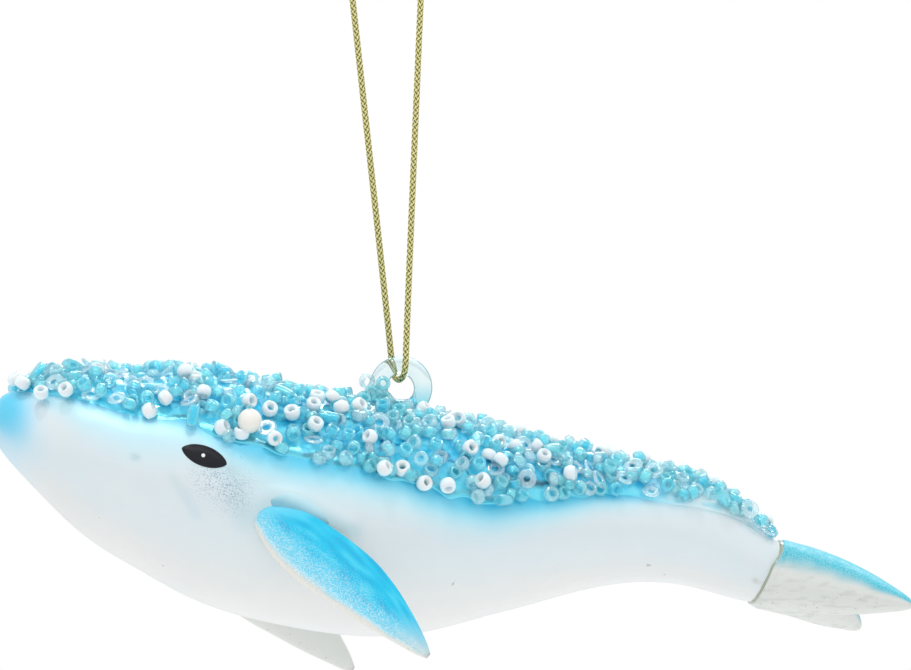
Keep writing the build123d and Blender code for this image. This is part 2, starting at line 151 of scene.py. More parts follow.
# Knot in millimetres: size and height of its turns, then start, length, lean and bow of its tails
KNOT_SIZE = (0.27, 0.27, 0.85)
KNOT_HEIGHT = 1.65
KNOT_STEP = 0.12
TAIL_START = 2.0
TAIL_LENGTH = 4.9
TAIL_LEAN = math.radians(24)
TAIL_BOW = 0.35


def shade(red, green, blue):
    """A colour as it shows on a screen, from 0 to 255, turned into the renderer's own numbers."""
    parts = [part / 255 for part in (red, green, blue)]
    return tuple(part / 12.92 if part <= 0.04045 else ((part + 0.055) / 1.055) ** 2.4 for part in parts)


def colour_property(name, description, red, green, blue):
    """A colour that a user may change, given as it shows on a screen."""
    return FloatVectorProperty(
        name=name, description=description, subtype="COLOR", size=3, min=0, max=1, default=shade(red, green, blue))


class WhaleStageSettings(bpy.types.PropertyGroup):
    """Camera, lights and floor."""
    azimuth: FloatProperty(name="Azimuth", description="Turn of the camera round the whale",
                           subtype="ANGLE", default=math.radians(-10.5))
    elevation: FloatProperty(name="Elevation", description="Height of the camera as an angle",
                             subtype="ANGLE", default=math.radians(-5.0))
    distance: FloatProperty(name="Distance", description="From the camera to the whale",
                            subtype="DISTANCE", unit="LENGTH", default=0.8)
    lens: FloatProperty(name="Lens", description="Focal length of the camera",
                        subtype="DISTANCE_CAMERA", default=204.0)
    floor_drop: FloatProperty(name="Floor drop", description="From the hanging point down to the floor",
                              subtype="DISTANCE", unit="LENGTH", default=0.32)
    key_power: FloatProperty(name="Key light", description="Power of the soft light above the nose",
                             subtype="POWER", default=0.8)
    rim_power: FloatProperty(name="Back light", description="Power of the soft light behind the back",
                             subtype="POWER", default=2.4)
    sparkle_power: FloatProperty(name="Sparkle light", description="Power of the small light that glints in beads",
                                 subtype="POWER", default=0.95)
    sky_strength: FloatProperty(name="Sky", description="Strength of the even light from all round", default=0.92)


class WhaleBodySettings(bpy.types.PropertyGroup):
    """Lacquer on the glass body."""
    back_colour: colour_property("Back", "Cyan lacquer under the beads", 34, 184, 222)
    # Partly the lacquer's pale cyan, partly a painted reflection of a soft light
    band_and_reflection_colour: colour_property("Band", "Bright lacquer just under the beads", 186, 234, 245)
    flank_colour: colour_property("Flank", "Pearl lacquer on the flank", 219, 228, 231)
    belly_colour: colour_property("Belly", "Pearl lacquer on the belly", 225, 224, 221)
    nose_colour: colour_property("Nose", "Blue haze on the nose", 80, 200, 234)
    # Painted grey aqua shade below the lips of the flipper roots
    root_shade_colour: colour_property("Haze", "Grey aqua haze at the flipper roots", 140, 200, 212)
    speckle_colour: colour_property("Speckle", "Fine grey spray below the eyes", 128, 162, 180)
    lip_height: FloatProperty(name="Flipper lip", description="Height of the glass lip behind each flipper",
                              subtype="DISTANCE", unit="LENGTH", default=0.9 * MM)
    rows: IntProperty(name="Rows", description="Sections along the glass", default=250)
    columns: IntProperty(name="Columns", description="Points round each section", default=176)


class WhaleFinSettings(bpy.types.PropertyGroup):
    """Paint on the flippers and the fluke."""
    blue_colour: colour_property("Blue", "Airbrushed blue at its deepest", 0, 192, 230)
    soft_blue_colour: colour_property("Soft blue", "Airbrushed blue where it fades", 112, 214, 240)
    white_colour: colour_property("White", "Off-white ground of the fins", 219, 219, 213)
    rim_colour: colour_property("Rim", "Cream front rim of the flippers", 232, 226, 214)
    fluke_blue_colour: colour_property("Fluke blue", "Blue along the top of the fluke", 40, 178, 198)
    seam_colour: colour_property("Seam", "Old glue in the tail seam", 158, 166, 146)


class WhaleBeadSettings(bpy.types.PropertyGroup):
    """Glass beads on the back."""
    white_colour: colour_property("White", "Opaque white beads", 240, 238, 236)
    aqua_colour: colour_property("Aqua", "Clear aqua beads", 160, 252, 255)
    deep_colour: colour_property("Deep aqua", "Darkest aqua beads", 84, 232, 255)
    clear_colour: colour_property("Clear", "Colourless beads", 226, 250, 255)
    pearl_colour: colour_property("Pearl", "Cream pearls", 238, 233, 224)
    glue_colour: colour_property("Glue", "Clear glue coat, tinted by the lacquer", 104, 224, 246)
    filler_count: IntProperty(name="Fillers", description="Beads that lie deep in the glue", default=450)
    seed: IntProperty(name="Seed", description="Seed of the scatter", default=7)
    round_steps: IntProperty(name="Steps round", description="Sides of a bead", default=18)
    ring_steps: IntProperty(name="Steps across", description="Sides of a bead's wall", default=8)


class WhaleCordSettings(bpy.types.PropertyGroup):
    """Gold cord."""
    diameter: FloatProperty(name="Diameter", description="Thickness of the cord",
                            subtype="DISTANCE", unit="LENGTH", default=1.0 * MM)
    pitch: FloatProperty(name="Pitch", description="Length in which a strand goes once round",
                         subtype="DISTANCE", unit="LENGTH", default=3.6 * MM)
    strands: IntProperty(name="Strands", description="Strands that wind each way", default=4)
    gold_colour: colour_property("Gold", "Metal thread", 247, 238, 160)
    gap_colour: colour_property("Gap", "Shade between the strands", 76, 68, 16)


def settings():
    return bpy.context.scene.whale_ornament


# Meshes

def smooth_step(low, high, value):
    part = np.clip((np.asarray(value, float) - low) / (high - low), 0, 1)
    return part * part * (3 - 2 * part)


def mixed(colours, other, mask):
    """Colours blended toward another by a mask."""
    mask = np.asarray(mask)[..., None]
    return colours * (1 - mask) + np.asarray(other)[..., :] * mask


def piece_from(name, points, faces):
    """A smooth shaded object from points in metres."""
    mesh = bpy.data.meshes.new(name)
    mesh.from_pydata([tuple(map(float, point)) for point in points], [], [tuple(map(int, face)) for face in faces])
    mesh.update()
    mesh.shade_smooth()
    obj = bpy.data.objects.new(name, mesh)
    bpy.context.scene.collection.objects.link(obj)
    return obj


def round_faces(rows, columns, first=0):
    """Quads of a grid whose columns close round on themselves."""
    row = np.arange(rows - 1)[:, None] * columns
    column = np.arange(columns)[None, :]
    after = (column + 1) % columns
    quads = np.stack([row + column, row + after, row + after + columns, row + column + columns], -1)
    return (quads.reshape(-1, 4) + first).tolist()


def ring_faces(rows, columns):
    """Quads of a grid that closes on itself both ways."""
    last = (rows - 1) * columns
    return round_faces(rows, columns) + [
        (last + column, last + (column + 1) % columns, (column + 1) % columns, column) for column in range(columns)]


def joined(shapes):
    """Points and faces of several shapes, put together as one."""
    points, faces = [], []
    for more_points, more_faces in shapes:
        first = sum(len(part) for part in points)
        faces += [tuple(corner + first for corner in face) for face in more_faces]
        points.append(more_points)
    return np.concatenate(points), faces


def finished_mesh(obj):
    """A plain mesh of an object, with its modifiers or its curve worked out."""
    bpy.context.view_layer.update()
    return bpy.data.meshes.new_from_object(obj.evaluated_get(bpy.context.evaluated_depsgraph_get()))


def turned_out(points, faces):
    """The faces of a closed shape, turned so that they point outward."""
    points = np.asarray(points, float)
    volume = 0.0
    for face in faces:
        for second, third in zip(face[1:-1], face[2:]):
            volume += float(np.dot(points[face[0]], np.cross(points[second], points[third])))
    return faces if volume > 0 else [tuple(reversed(face)) for face in faces]


def closed_tube(grid):
    """Points and faces of a round grid, its two ends closed by a point in their middle."""
    rows, columns, _ = grid.shape
    points = np.concatenate([grid.reshape(-1, 3), grid[0].mean(0)[None], grid[-1].mean(0)[None]])
    start, end = rows * columns, rows * columns + 1
    faces = round_faces(rows, columns)
    for column in range(columns):
        after = (column + 1) % columns
        faces.append((start, after, column))
        faces.append((end, (rows - 1) * columns + column, (rows - 1) * columns + after))
    return points, turned_out(points, faces)


def paint(obj, colours, name="paint"):
    """Stores a colour for each point of the mesh."""
    attribute = obj.data.color_attributes.new(name, "FLOAT_COLOR", "POINT")
    colours = np.asarray(colours, float).reshape(-1, 3)
    full = np.ones((len(obj.data.vertices), 4), np.float32)
    full[:len(colours), :3] = colours
    full[len(colours):, :3] = colours[-1]
    attribute.data.foreach_set("color", full.ravel())


def mark(obj, values, name):
    """Stores a number for each point of the mesh."""
    attribute = obj.data.attributes.new(name, "FLOAT", "POINT")
    full = np.zeros(len(obj.data.vertices), np.float32)
    values = np.asarray(values, float).ravel()
    full[:len(values)] = values
    attribute.data.foreach_set("value", full)


def points_of(obj):
    """The points of an object's mesh, one row each."""
    flat = np.zeros(len(obj.data.vertices) * 3)
    obj.data.vertices.foreach_get("co", flat)
    return flat.reshape(-1, 3)


# Materials

def new_material(name):
    material = bpy.data.materials.new(name)
    material.use_nodes = True
    tree = material.node_tree
    tree.nodes.clear()
    output = tree.nodes.new("ShaderNodeOutputMaterial")
    shader = tree.nodes.new("ShaderNodeBsdfPrincipled")
    tree.links.new(shader.outputs["BSDF"], output.inputs["Surface"])
    return material, tree, shader


def constants(shader, **values):
    for name, value in values.items():
        shader.inputs[name.replace("_", " ")].default_value = value


def link_attribute(tree, name, socket="Color"):
    node = tree.nodes.new("ShaderNodeAttribute")
    node.attribute_name = name
    return node.outputs[socket]


def object_noise(tree, scale, detail=3.0, roughness=0.55):
    place = tree.nodes.new("ShaderNodeTexCoord")
    pattern = tree.nodes.new("ShaderNodeTexNoise")
    pattern.inputs["Scale"].default_value = scale
    pattern.inputs["Detail"].default_value = detail
    pattern.inputs["Roughness"].default_value = roughness
    tree.links.new(place.outputs["Object"], pattern.inputs["Vector"])
    return pattern.outputs["Fac"]


def ramp(tree, source, low, high, start=0.0, end=1.0):
    node = tree.nodes.new("ShaderNodeMapRange")
    node.inputs["From Min"].default_value = low
    node.inputs["From Max"].default_value = high
    node.inputs["To Min"].default_value = start
    node.inputs["To Max"].default_value = end
    tree.links.new(source, node.inputs["Value"])
    return node.outputs["Result"]


def product(tree, first, second):
    node = tree.nodes.new("ShaderNodeMath")
    node.operation = "MULTIPLY"
    tree.links.new(first, node.inputs[0])
    if isinstance(second, (int, float)):
        node.inputs[1].default_value = second
    else:
        tree.links.new(second, node.inputs[1])
    return node.outputs["Value"]


def colour_mix(tree, first, second, factor):
    node = tree.nodes.new("ShaderNodeMix")
    node.data_type = "RGBA"
    for index, value in ((0, factor), (6, first), (7, second)):
        if isinstance(value, bpy.types.NodeSocket):
            tree.links.new(value, node.inputs[index])
        else:
            node.inputs[index].default_value = (*value, 1.0) if index else value
    return node.outputs[2]


def bump(tree, shader, height, strength, distance):
    node = tree.nodes.new("ShaderNodeBump")
    node.inputs["Strength"].default_value = strength
    node.inputs["Distance"].default_value = distance
    tree.links.new(height, node.inputs["Height"])
    tree.links.new(node.outputs["Normal"], shader.inputs["Normal"])


def uneven_roughness(tree, shader, scale, low, high, detail=2.0):
    """Roughness that wanders between two values over the surface."""
    tree.links.new(ramp(tree, object_noise(tree, scale, detail), 0.3, 0.7, low, high), shader.inputs["Roughness"])


def lacquer_material():
    """Pearl lacquer: painted colours, a fine grey spray by the eyes, satin below and glossier above."""
    chosen = settings().body
    material, tree, shader = new_material("pearl_lacquer")
    spray = ramp(tree, object_noise(tree, 4200, 2.0, 0.7), 0.50, 0.62)
    warm = ramp(tree, object_noise(tree, 55, 5.0, 0.65), 0.42, 0.66, 0.0, 0.5)
    soft = ramp(tree, object_noise(tree, 260, 4.0), 0.35, 0.70, 0.0, 0.05)
    warm = product(tree, warm, link_attribute(tree, "pearl", "Fac"))
    ground = colour_mix(tree, link_attribute(tree, "paint"), shade(233, 229, 223), warm)
    ground = colour_mix(tree, ground, (0.99, 1.0, 1.0), soft)
    spray = product(tree, spray, link_attribute(tree, "speckle", "Fac"))
    colour = colour_mix(tree, ground, tuple(chosen.speckle_colour), spray)
    dirt = ramp(tree, object_noise(tree, 640, 1.0, 0.5), 0.785, 0.80, 0.0, 0.4)
    colour = colour_mix(tree, colour, (0.22, 0.19, 0.14), dirt)
    tree.links.new(colour, shader.inputs["Base Color"])
    gloss = link_attribute(tree, "gloss", "Fac")
    tree.links.new(ramp(tree, gloss, 0, 1, 0.46, 0.30), shader.inputs["Roughness"])
    tree.links.new(ramp(tree, gloss, 0, 1, 0.0, 0.25), shader.inputs["Metallic"])
    constants(shader, Coat_Weight=0.30, Coat_Roughness=0.25, IOR=1.5)
    bump(tree, shader, object_noise(tree, 180, 3.0), 0.10, 0.3 * MM)
    return material


def fin_material():
    """Airbrushed matte paint with a fine grain of specks."""
    material, tree, shader = new_material("fin_airbrush")
    grain = ramp(tree, object_noise(tree, 4600, 1.0, 0.6), 0.44, 0.64, 0.0, 0.55)
    grain = product(tree, grain, ramp(tree, link_attribute(tree, "dust", "Fac"), 0, 1, 0.03, 1.0))
    specks = ramp(tree, object_noise(tree, 1700, 2.0, 0.8), 0.66, 0.72, 0.0, 0.75)
    specks = product(tree, specks, link_attribute(tree, "specks", "Fac"))
    colour = colour_mix(tree, link_attribute(tree, "paint"), (0.84, 0.88, 0.88), grain)
    colour = colour_mix(tree, colour, (0.12, 0.11, 0.09), specks)
    tree.links.new(colour, shader.inputs["Base Color"])
    uneven_roughness(tree, shader, 900, 0.42, 0.62, 3.0)
    constants(shader, Specular_IOR_Level=0.28, Coat_Weight=0.04, Coat_Roughness=0.3)
    bump(tree, shader, object_noise(tree, 2600, 3.0), 0.25, 0.05 * MM)
    return material


def rim_share(tree, blend):
    """How far a surface turns away at the edge of a clear shape, by which glass gets a painted pale reflection and a
    painted outline of shade.
    """
    node = tree.nodes.new("ShaderNodeLayerWeight")
    node.inputs["Blend"].default_value = blend
    return node.outputs["Facing"]


def bead_material(name, light, deep, rim, outline, transmission, alpha, metal=0.22, film=0.0):
    """Bead glass or film whose tone differs from bead to bead, with a pale rim painted as reflection and a coloured
    outline painted as shade.
    """
    material, tree, shader = new_material(name)
    colour = colour_mix(tree, tuple(light), tuple(deep), link_attribute(tree, "tone", "Fac"))
    facing = rim_share(tree, 0.5)
    # painted reflection turns the colour pale toward the rim, painted shade gives the edge its outline
    colour = colour_mix(tree, colour, tuple(rim), ramp(tree, facing, 0.08, 0.36, 0.0, 0.8))
    colour = colour_mix(tree, colour, tuple(outline), ramp(tree, facing, 0.55, 0.85, 0.0, 0.75))
    tree.links.new(colour, shader.inputs["Base Color"])
    uneven_roughness(tree, shader, 1500, 0.02, 0.08)
    constants(shader, Transmission_Weight=transmission, Alpha=alpha, IOR=1.33, Metallic=metal,
              Coat_Weight=0.8, Coat_Roughness=0.02)
    if film:
        constants(shader, Thin_Film_Thickness=film, Thin_Film_IOR=1.5)
    return material


def plain_material(name, colour, roughness, grain_scale, grain_depth, **values):
    """One colour with a slow tone and a grain of its own."""
    material, tree, shader = new_material(name)
    tone = ramp(tree, object_noise(tree, grain_scale / 4, 3.0), 0.3, 0.7, 0.0, 0.25)
    paler = tuple(min(1.0, part * 1.12 + 0.01) for part in colour)
    tree.links.new(colour_mix(tree, tuple(colour), paler, tone), shader.inputs["Base Color"])
    uneven_roughness(tree, shader, grain_scale, roughness, roughness + 0.06)
    constants(shader, **values)
    bump(tree, shader, object_noise(tree, grain_scale, 3.0), 0.2, grain_depth)
    return material


# The outside of the glass body

def interpolated(table, column, places):
    return np.interp(places, table[:, 0], table[:, column])


def smoothed(table, places):
    """Rows of a table at other places along it, on smooth curves through its values."""
    knots = table[:, 0]
    slopes = np.gradient(table, knots, axis=0)
    index = np.clip(np.searchsorted(knots, places) - 1, 0, len(knots) - 2)
    width = (knots[index + 1] - knots[index])[:, None]
    part = ((places - knots[index]) / width[:, 0])[:, None]
    before, after = table[index], table[index + 1]
    first, second = slopes[index] * width, slopes[index + 1] * width
    return (before * (2 * part ** 3 - 3 * part ** 2 + 1) + first * (part ** 3 - 2 * part ** 2 + part)
            + after * (3 * part ** 2 - 2 * part ** 3) + second * (part ** 3 - part ** 2))


class Skin:
    """The outside of the glass, read from the solid with rays, as a grid along and round the body."""

    def __init__(self, rows, columns):
        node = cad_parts["body_shell"]
        places = points_of(node)
        self.tree = BVHTree.FromPolygons([Vector(place) for place in places],
                                         [tuple(face.vertices) for face in node.data.polygons])
        self.nose = places[places[:, 0].argmin()]
        # closer rows toward the nose, and the last one just short of the neck's cut end
        self.along = np.concatenate([np.linspace(0.03, 1, rows - 1) ** 1.7 * 0.998, [0.9985]])
        self.angles = -1 + 2 * np.arange(columns) / columns
        self.points = np.zeros((rows, columns, 3))
        for row, share in enumerate(self.along):
            middle, up = self.section(share)
            for column, angle in enumerate(self.angles):
                way = up * math.cos(math.pi * angle) + Vector((0, math.sin(math.pi * angle), 0))
                hit = self.tree.ray_cast(middle + way * RAY_START, -way)[0]
                self.points[row, column] = hit if hit else middle
        self.normals = self.slopes(self.points)

    def section(self, share):
        """Centre of a section and the way up in it."""
        x = share * BODY_LENGTH * MM
        z = float(interpolated(SECTIONS, 1, share)) * BODY_HEIGHT * MM
        tilt = float(interpolated(SECTIONS, 2, share)) * NECK_TILT
        middle = Vector((self.nose[0] + x, 0, self.nose[2] + z))
        return middle, Vector((math.sin(tilt), 0, math.cos(tilt)))

    def slopes(self, points):
        """The way out of the glass at each point of its grid."""
        along = np.gradient(points, axis=0)
        around = np.roll(points, -1, axis=1) - np.roll(points, 1, axis=1)
        across = np.cross(along, around)
        lengths = np.linalg.norm(across, axis=2, keepdims=True)
        normals = across / np.maximum(lengths, 1e-12)
        middle = points.mean(axis=1, keepdims=True)
        outward = np.sign(((points - middle) * normals).sum(axis=2, keepdims=True))
        return normals * np.where(outward == 0, 1, outward)

    def at(self, share, angle):
        """Point and normal at a place along the body and an angle share from the top."""
        rows, columns, _ = self.points.shape
        row = float(np.interp(share, self.along, np.arange(rows)))
        column = (angle + 1) / 2 * columns
        low, left = min(int(row), rows - 2), int(math.floor(column))
        down, over = row - low, column - left
        result = []
        for grid in (self.points, self.normals):
            corner = [grid[low + r, (left + c) % columns] for r in (0, 1) for c in (0, 1)]
            near = corner[0] * (1 - over) + corner[1] * over
            far = corner[2] * (1 - over) + corner[3] * over
            result.append(near * (1 - down) + far * down)
        return result[0], result[1] / np.linalg.norm(result[1])

    def beside(self, x, z, side):
        """The point of the glass that is seen from one side at a length and a height."""
        hit = self.tree.ray_cast(Vector((x, side * RAY_START, z)), Vector((0, -side, 0)))[0]
        return np.array(hit) if hit else None

    def seen(self, u, v):
        """The point of the glass under a pixel of the view."""
        eye, axes, lens = view_axes()
        focal = lens / SENSOR * PHOTO_WIDTH
        way = axes[2] * -focal + axes[0] * (u - PHOTO_WIDTH / 2) + axes[1] * (PHOTO_HEIGHT / 2 - v)
        hit = self.tree.ray_cast(eye, way.normalized())[0]
        return np.array(hit) if hit else None


def view_axes():
    """Place of the camera and its right, up and back directions."""
    stage = settings().stage
    back = Vector((math.sin(stage.azimuth) * math.cos(stage.elevation),
                   -math.cos(stage.azimuth) * math.cos(stage.elevation), math.sin(stage.elevation)))
    right = Vector((math.cos(stage.azimuth), math.sin(stage.azimuth), 0))
    up = back.cross(right)
    return VIEW_MIDDLE + back * stage.distance, (right, up, back), stage.lens


_skin = {}


def skin():
    """The glass, read from the solid the first time it is asked for."""
    if not _skin:
        chosen = settings().body
        _skin["skin"] = Skin(chosen.rows, chosen.columns)
    return _skin["skin"]


def zone_edge(share):
    """Angle share of the beads' lower edge at a place along the body."""
    return np.interp(share, ZONE[:, 0], ZONE[:, 1], left=0.02, right=0.02)


def near_line(points, line, width):
    """How close points lie to a line of places, 1 on it and fading over a width."""
    flat = points.reshape(-1, 3)
    best = np.full(len(flat), 1e9)
    for start, end in zip(line, line[1:]):
        way = end - start
        part = np.clip(((flat - start) @ way) / max(way @ way, 1e-12), 0, 1)
        best = np.minimum(best, ((flat - start - part[:, None] * way) ** 2).sum(1))
    return np.exp(-best / width ** 2).reshape(points.shape[:-1])


def flipper_frame(name):
    """Root, direction, chord and side of a flipper, from its solid."""
    way = Vector(FLIPPER_WAYS[name]).normalized()
    side = 1 if way.y > 0 else -1
    places = points_of(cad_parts[name])
    tip = places[(places @ np.array(way)).argmax()]
    outward = Vector((0, side, 0)) - way * (side * way.y)
    chord = way.cross(outward).normalized() * -side
    return np.array(tip) - np.array(way) * FLIPPER_LENGTH * MM, np.array(way), np.array(chord), side


# Lip of glass over the left flipper's root: places in the view, and its half width there in millimetres
LIP_PIXELS = [(249, 514), (257, 503), (269, 496), (283, 496), (298, 501), (313, 509), (329, 517), (346, 526)]
LIP_WIDTHS = [0.12, 0.6, 1.1, 1.4, 1.5, 1.4, 1.0, 0.2]


def lip_line(name):
    """Line of the glass lip that stands behind and above a flipper's root, on either side."""
    near = flipper_frame("left_flipper")[0]
    root, _, _, side = flipper_frame(name)
    places = []
    for u, v in LIP_PIXELS:
        spot = skin().seen(u, v) - near
        hit = skin().beside(root[0] + spot[0], root[2] + spot[2], side)
        places.append(hit if hit is not None else places[-1])
    return places


class WHALE_OT_stage(bpy.types.Operator):
    """Set the camera, the soft lights and the pale floor"""
    bl_idname = "whale.stage"
    bl_label = "Stage"

    def execute(self, context):
        chosen = settings().stage
        context.scene.view_settings.view_transform = "Standard"
        place, (right, up, back), lens = view_axes()
        camera = bpy.data.objects.new("camera", bpy.data.cameras.new("camera"))
        camera.data.lens = lens
        camera.data.sensor_width = SENSOR
        camera.data.clip_start = 0.01
        turn = Matrix((right, up, back)).transposed().to_4x4()
        camera.matrix_world = Matrix.Translation(place) @ turn
        context.scene.collection.objects.link(camera)
        context.scene.camera = camera

        for name, power, spot, size in LAMPS:
            lamp = bpy.data.lights.new(name, "AREA")
            lamp.shape = "RECTANGLE"
            lamp.size, lamp.size_y = size
            lamp.energy = getattr(chosen, power)
            holder = bpy.data.objects.new(name, lamp)
            back = (Vector(spot) - LAMP_AIM).normalized()
            right = Vector((0, 0, 1)).cross(back).normalized()
            turn = Matrix((right, back.cross(right), back)).transposed().to_4x4()
            holder.matrix_world = Matrix.Translation(spot) @ turn
            context.scene.collection.objects.link(holder)

        self.sky(context, chosen.sky_strength)
        reach, drop = FLOOR_REACH, -chosen.floor_drop
        corners = [(-reach, -reach, drop), (reach, -reach, drop), (reach, reach, drop), (-reach, reach, drop)]
        floor = piece_from("floor", corners, [(0, 1, 2, 3)])
        floor.data.materials.append(plain_material("pale_floor", FLOOR_COLOUR, 0.6, 40.0, 0.1 * MM))
        return {"FINISHED"}

    def sky(self, context, strength):
        """Even light from all round, which the camera and clear or shiny surfaces see as white."""
        world = bpy.data.worlds.new("studio")
        context.scene.world = world
        world.use_nodes = True
        tree = world.node_tree
        tree.nodes.clear()
        output = tree.nodes.new("ShaderNodeOutputWorld")
        even = tree.nodes.new("ShaderNodeBackground")
        white = tree.nodes.new("ShaderNodeBackground")
        choose = tree.nodes.new("ShaderNodeMixShader")
        rays = tree.nodes.new("ShaderNodeLightPath")
        even.inputs["Color"].default_value = SKY_COLOUR
        even.inputs["Strength"].default_value = strength
        white.inputs["Color"].default_value = (1, 1, 1, 1)
        seen = rays.outputs["Is Camera Ray"]
        for name in ("Is Glossy Ray", "Is Transmission Ray"):
            either = tree.nodes.new("ShaderNodeMath")
            either.operation = "MAXIMUM"
            tree.links.new(seen, either.inputs[0])
            tree.links.new(rays.outputs[name], either.inputs[1])
            seen = either.outputs["Value"]
        tree.links.new(seen, choose.inputs["Fac"])
        tree.links.new(even.outputs["Background"], choose.inputs[1])
        tree.links.new(white.outputs["Background"], choose.inputs[2])
        tree.links.new(choose.outputs["Shader"], output.inputs["Surface"])


# Cord

def route_points(route, count):
    """Points on the smooth line that the cord's route shapes."""
    curve = bpy.data.curves.new("route", "CURVE")
    curve.dimensions = "3D"
    curve.resolution_u = 24
    spline = curve.splines.new("NURBS")
    spline.points.add(len(route) - 1)
    for point, place in zip(spline.points, route):
        point.co = (*place, 1.0)
    spline.order_u = 3
    spline.use_endpoint_u = True
    holder = bpy.data.objects.new("route", curve)
    bpy.context.scene.collection.objects.link(holder)
    line = finished_mesh(holder)
    places = np.array([vertex.co for vertex in line.vertices])
    bpy.data.objects.remove(holder)
    bpy.data.curves.remove(curve)
    bpy.data.meshes.remove(line)
    return evenly(places, count)


def evenly(places, count):
    """A line of places divided into equal steps."""
    steps = np.linalg.norm(np.diff(places, axis=0), axis=1)
    reached = np.concatenate([[0], np.cumsum(steps)])
    wanted = np.linspace(0, reached[-1], count)
    return np.stack([np.interp(wanted, reached, places[:, axis]) for axis in range(3)], 1)


def carried_frames(places):
    """Two directions across a line at each of its places, turned as little as possible along it."""
    ways = np.gradient(places, axis=0)
    ways /= np.linalg.norm(ways, axis=1, keepdims=True)
    side = np.cross(ways[0], (0.3, 1.0, 0.2))
    sides = []
    for way in ways:
        side = side - way * (side @ way)
        side = side / np.linalg.norm(side)
        sides.append(side)
    sides = np.array(sides)
    return sides, np.cross(ways, sides)


def braided(places, around=24):
    """Grid and relief of a braided cord along a line of places."""
    chosen = settings().cord
    sides, overs = carried_frames(places)
    steps = np.linalg.norm(np.diff(places, axis=0), axis=1)
    reached = np.concatenate([[0], np.cumsum(steps)])[:, None]
    turn = (2 * math.pi * np.arange(around) / around)[None, :]
    half = chosen.strands / 2
    left = half * (turn + 2 * math.pi * reached / chosen.pitch)
    right = half * (turn - 2 * math.pi * reached / chosen.pitch)
    over = np.sin(left) * np.sin(right) > 0
    relief = np.where(over, np.cos(left) ** 2, np.cos(right) ** 2)
    relief = 1 - (1 - relief) ** 2
    radius = chosen.diameter / 2 * (BRAID_CORE + BRAID_RELIEF * relief)
    grid = (places[:, None, :] + sides[:, None, :] * (radius * np.cos(turn))[..., None]
            + overs[:, None, :] * (radius * np.sin(turn))[..., None])
    return grid, relief


def cord_material():
    """Gold thread, with shade painted into the gaps between the strands of the braid."""
    chosen = settings().cord
    material, tree, shader = new_material("gold_braid")
    thread = ramp(tree, object_noise(tree, 6000, 2.0), 0.35, 0.65, 0.75, 1.0)
    tone = product(tree, ramp(tree, link_attribute(tree, "relief", "Fac"), 0.25, 0.95), thread)
    tree.links.new(colour_mix(tree, tuple(chosen.gap_colour), tuple(chosen.gold_colour), tone),
                   shader.inputs["Base Color"])
    uneven_roughness(tree, shader, 3000, 0.28, 0.42)
    tree.links.new(ramp(tree, tone, 0, 1, 0.1, 0.35), shader.inputs["Metallic"])
    return material


class WHALE_OT_cord(bpy.types.Operator):
    """Lay the braided gold cord through the ring and tie its knot"""
    bl_idname = "whale.cord"
    bl_label = "Cord and knot"

    def execute(self, context):
        places = route_points(CORD_ROUTE, CORD_STEPS)
        gold = cord_material()
        grid, relief = braided(places)
        points, faces = closed_tube(grid)
        loop = piece_from("gold_cord", points, faces)
        mark(loop, relief, "relief")
        loop.data.materials.append(gold)

        shapes, reliefs = [], []
        for line in self.knot_lines():
            count = max(int(np.linalg.norm(np.diff(line, axis=0), axis=1).sum() / (KNOT_STEP * MM)), 20)
            grid, relief = braided(evenly(line, count), 20)
            shapes.append(closed_tube(grid))
            reliefs.append(np.concatenate([relief.ravel(), [0.4, 0.4]]))
        knot = piece_from("knot", *joined(shapes))
        mark(knot, np.concatenate(reliefs), "relief")
        knot.data.materials.append(gold)

        for piece, node in ((loop, "hanging_cord"), (knot, "cord_knot")):
            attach(piece, "cord_loop")
            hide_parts(node)
        length = float(np.linalg.norm(np.diff(places, axis=0), axis=1).sum())
        print("cord length on its line", round(length, 4))
        return {"FINISHED"}

    def knot_lines(self):
        """Lines of the knot's turns, shaped as a trefoil, and of its two tails."""
        turns = np.linspace(0, 2 * math.pi, 160, endpoint=False)
        trefoil = np.stack([np.sin(turns) + 2 * np.sin(2 * turns), np.cos(turns) - 2 * np.cos(2 * turns),
                            -np.sin(3 * turns)], 1)
        trefoil *= np.array(KNOT_SIZE) * MM
        trefoil += np.array([0, 0, KNOT_HEIGHT]) * MM
        lines = [np.concatenate([trefoil, trefoil[:1]])]
        for lean in (-1, 1):
            way = np.array([math.sin(TAIL_LEAN * lean), 0, math.cos(TAIL_LEAN)])
            start = np.array([0, 0, TAIL_START]) * MM
            stretch = np.linspace(0, TAIL_LENGTH, 60)[:, None] * MM
            bend = np.sin(np.linspace(0, 2.2, 60))[:, None] * np.array([0, TAIL_BOW * lean, 0]) * MM
            lines.append(start + way * stretch + bend)
        return lines


# Places in the view: the eye, and a spot of grime near the tail
EYE_PIXEL = (234, 492)
GRIME_PIXEL = (757, 581)

# Faint smudges in the lacquer: places in the view along each, its width in millimetres, its strength
SMUDGES = [
    ([(172, 478), (184, 494), (196, 514)], 0.9, 0.28),
    ([(134, 457), (137, 457)], 0.5, 0.8),
    ([(232, 470), (238, 500), (246, 520)], 1.6, 0.35),
]


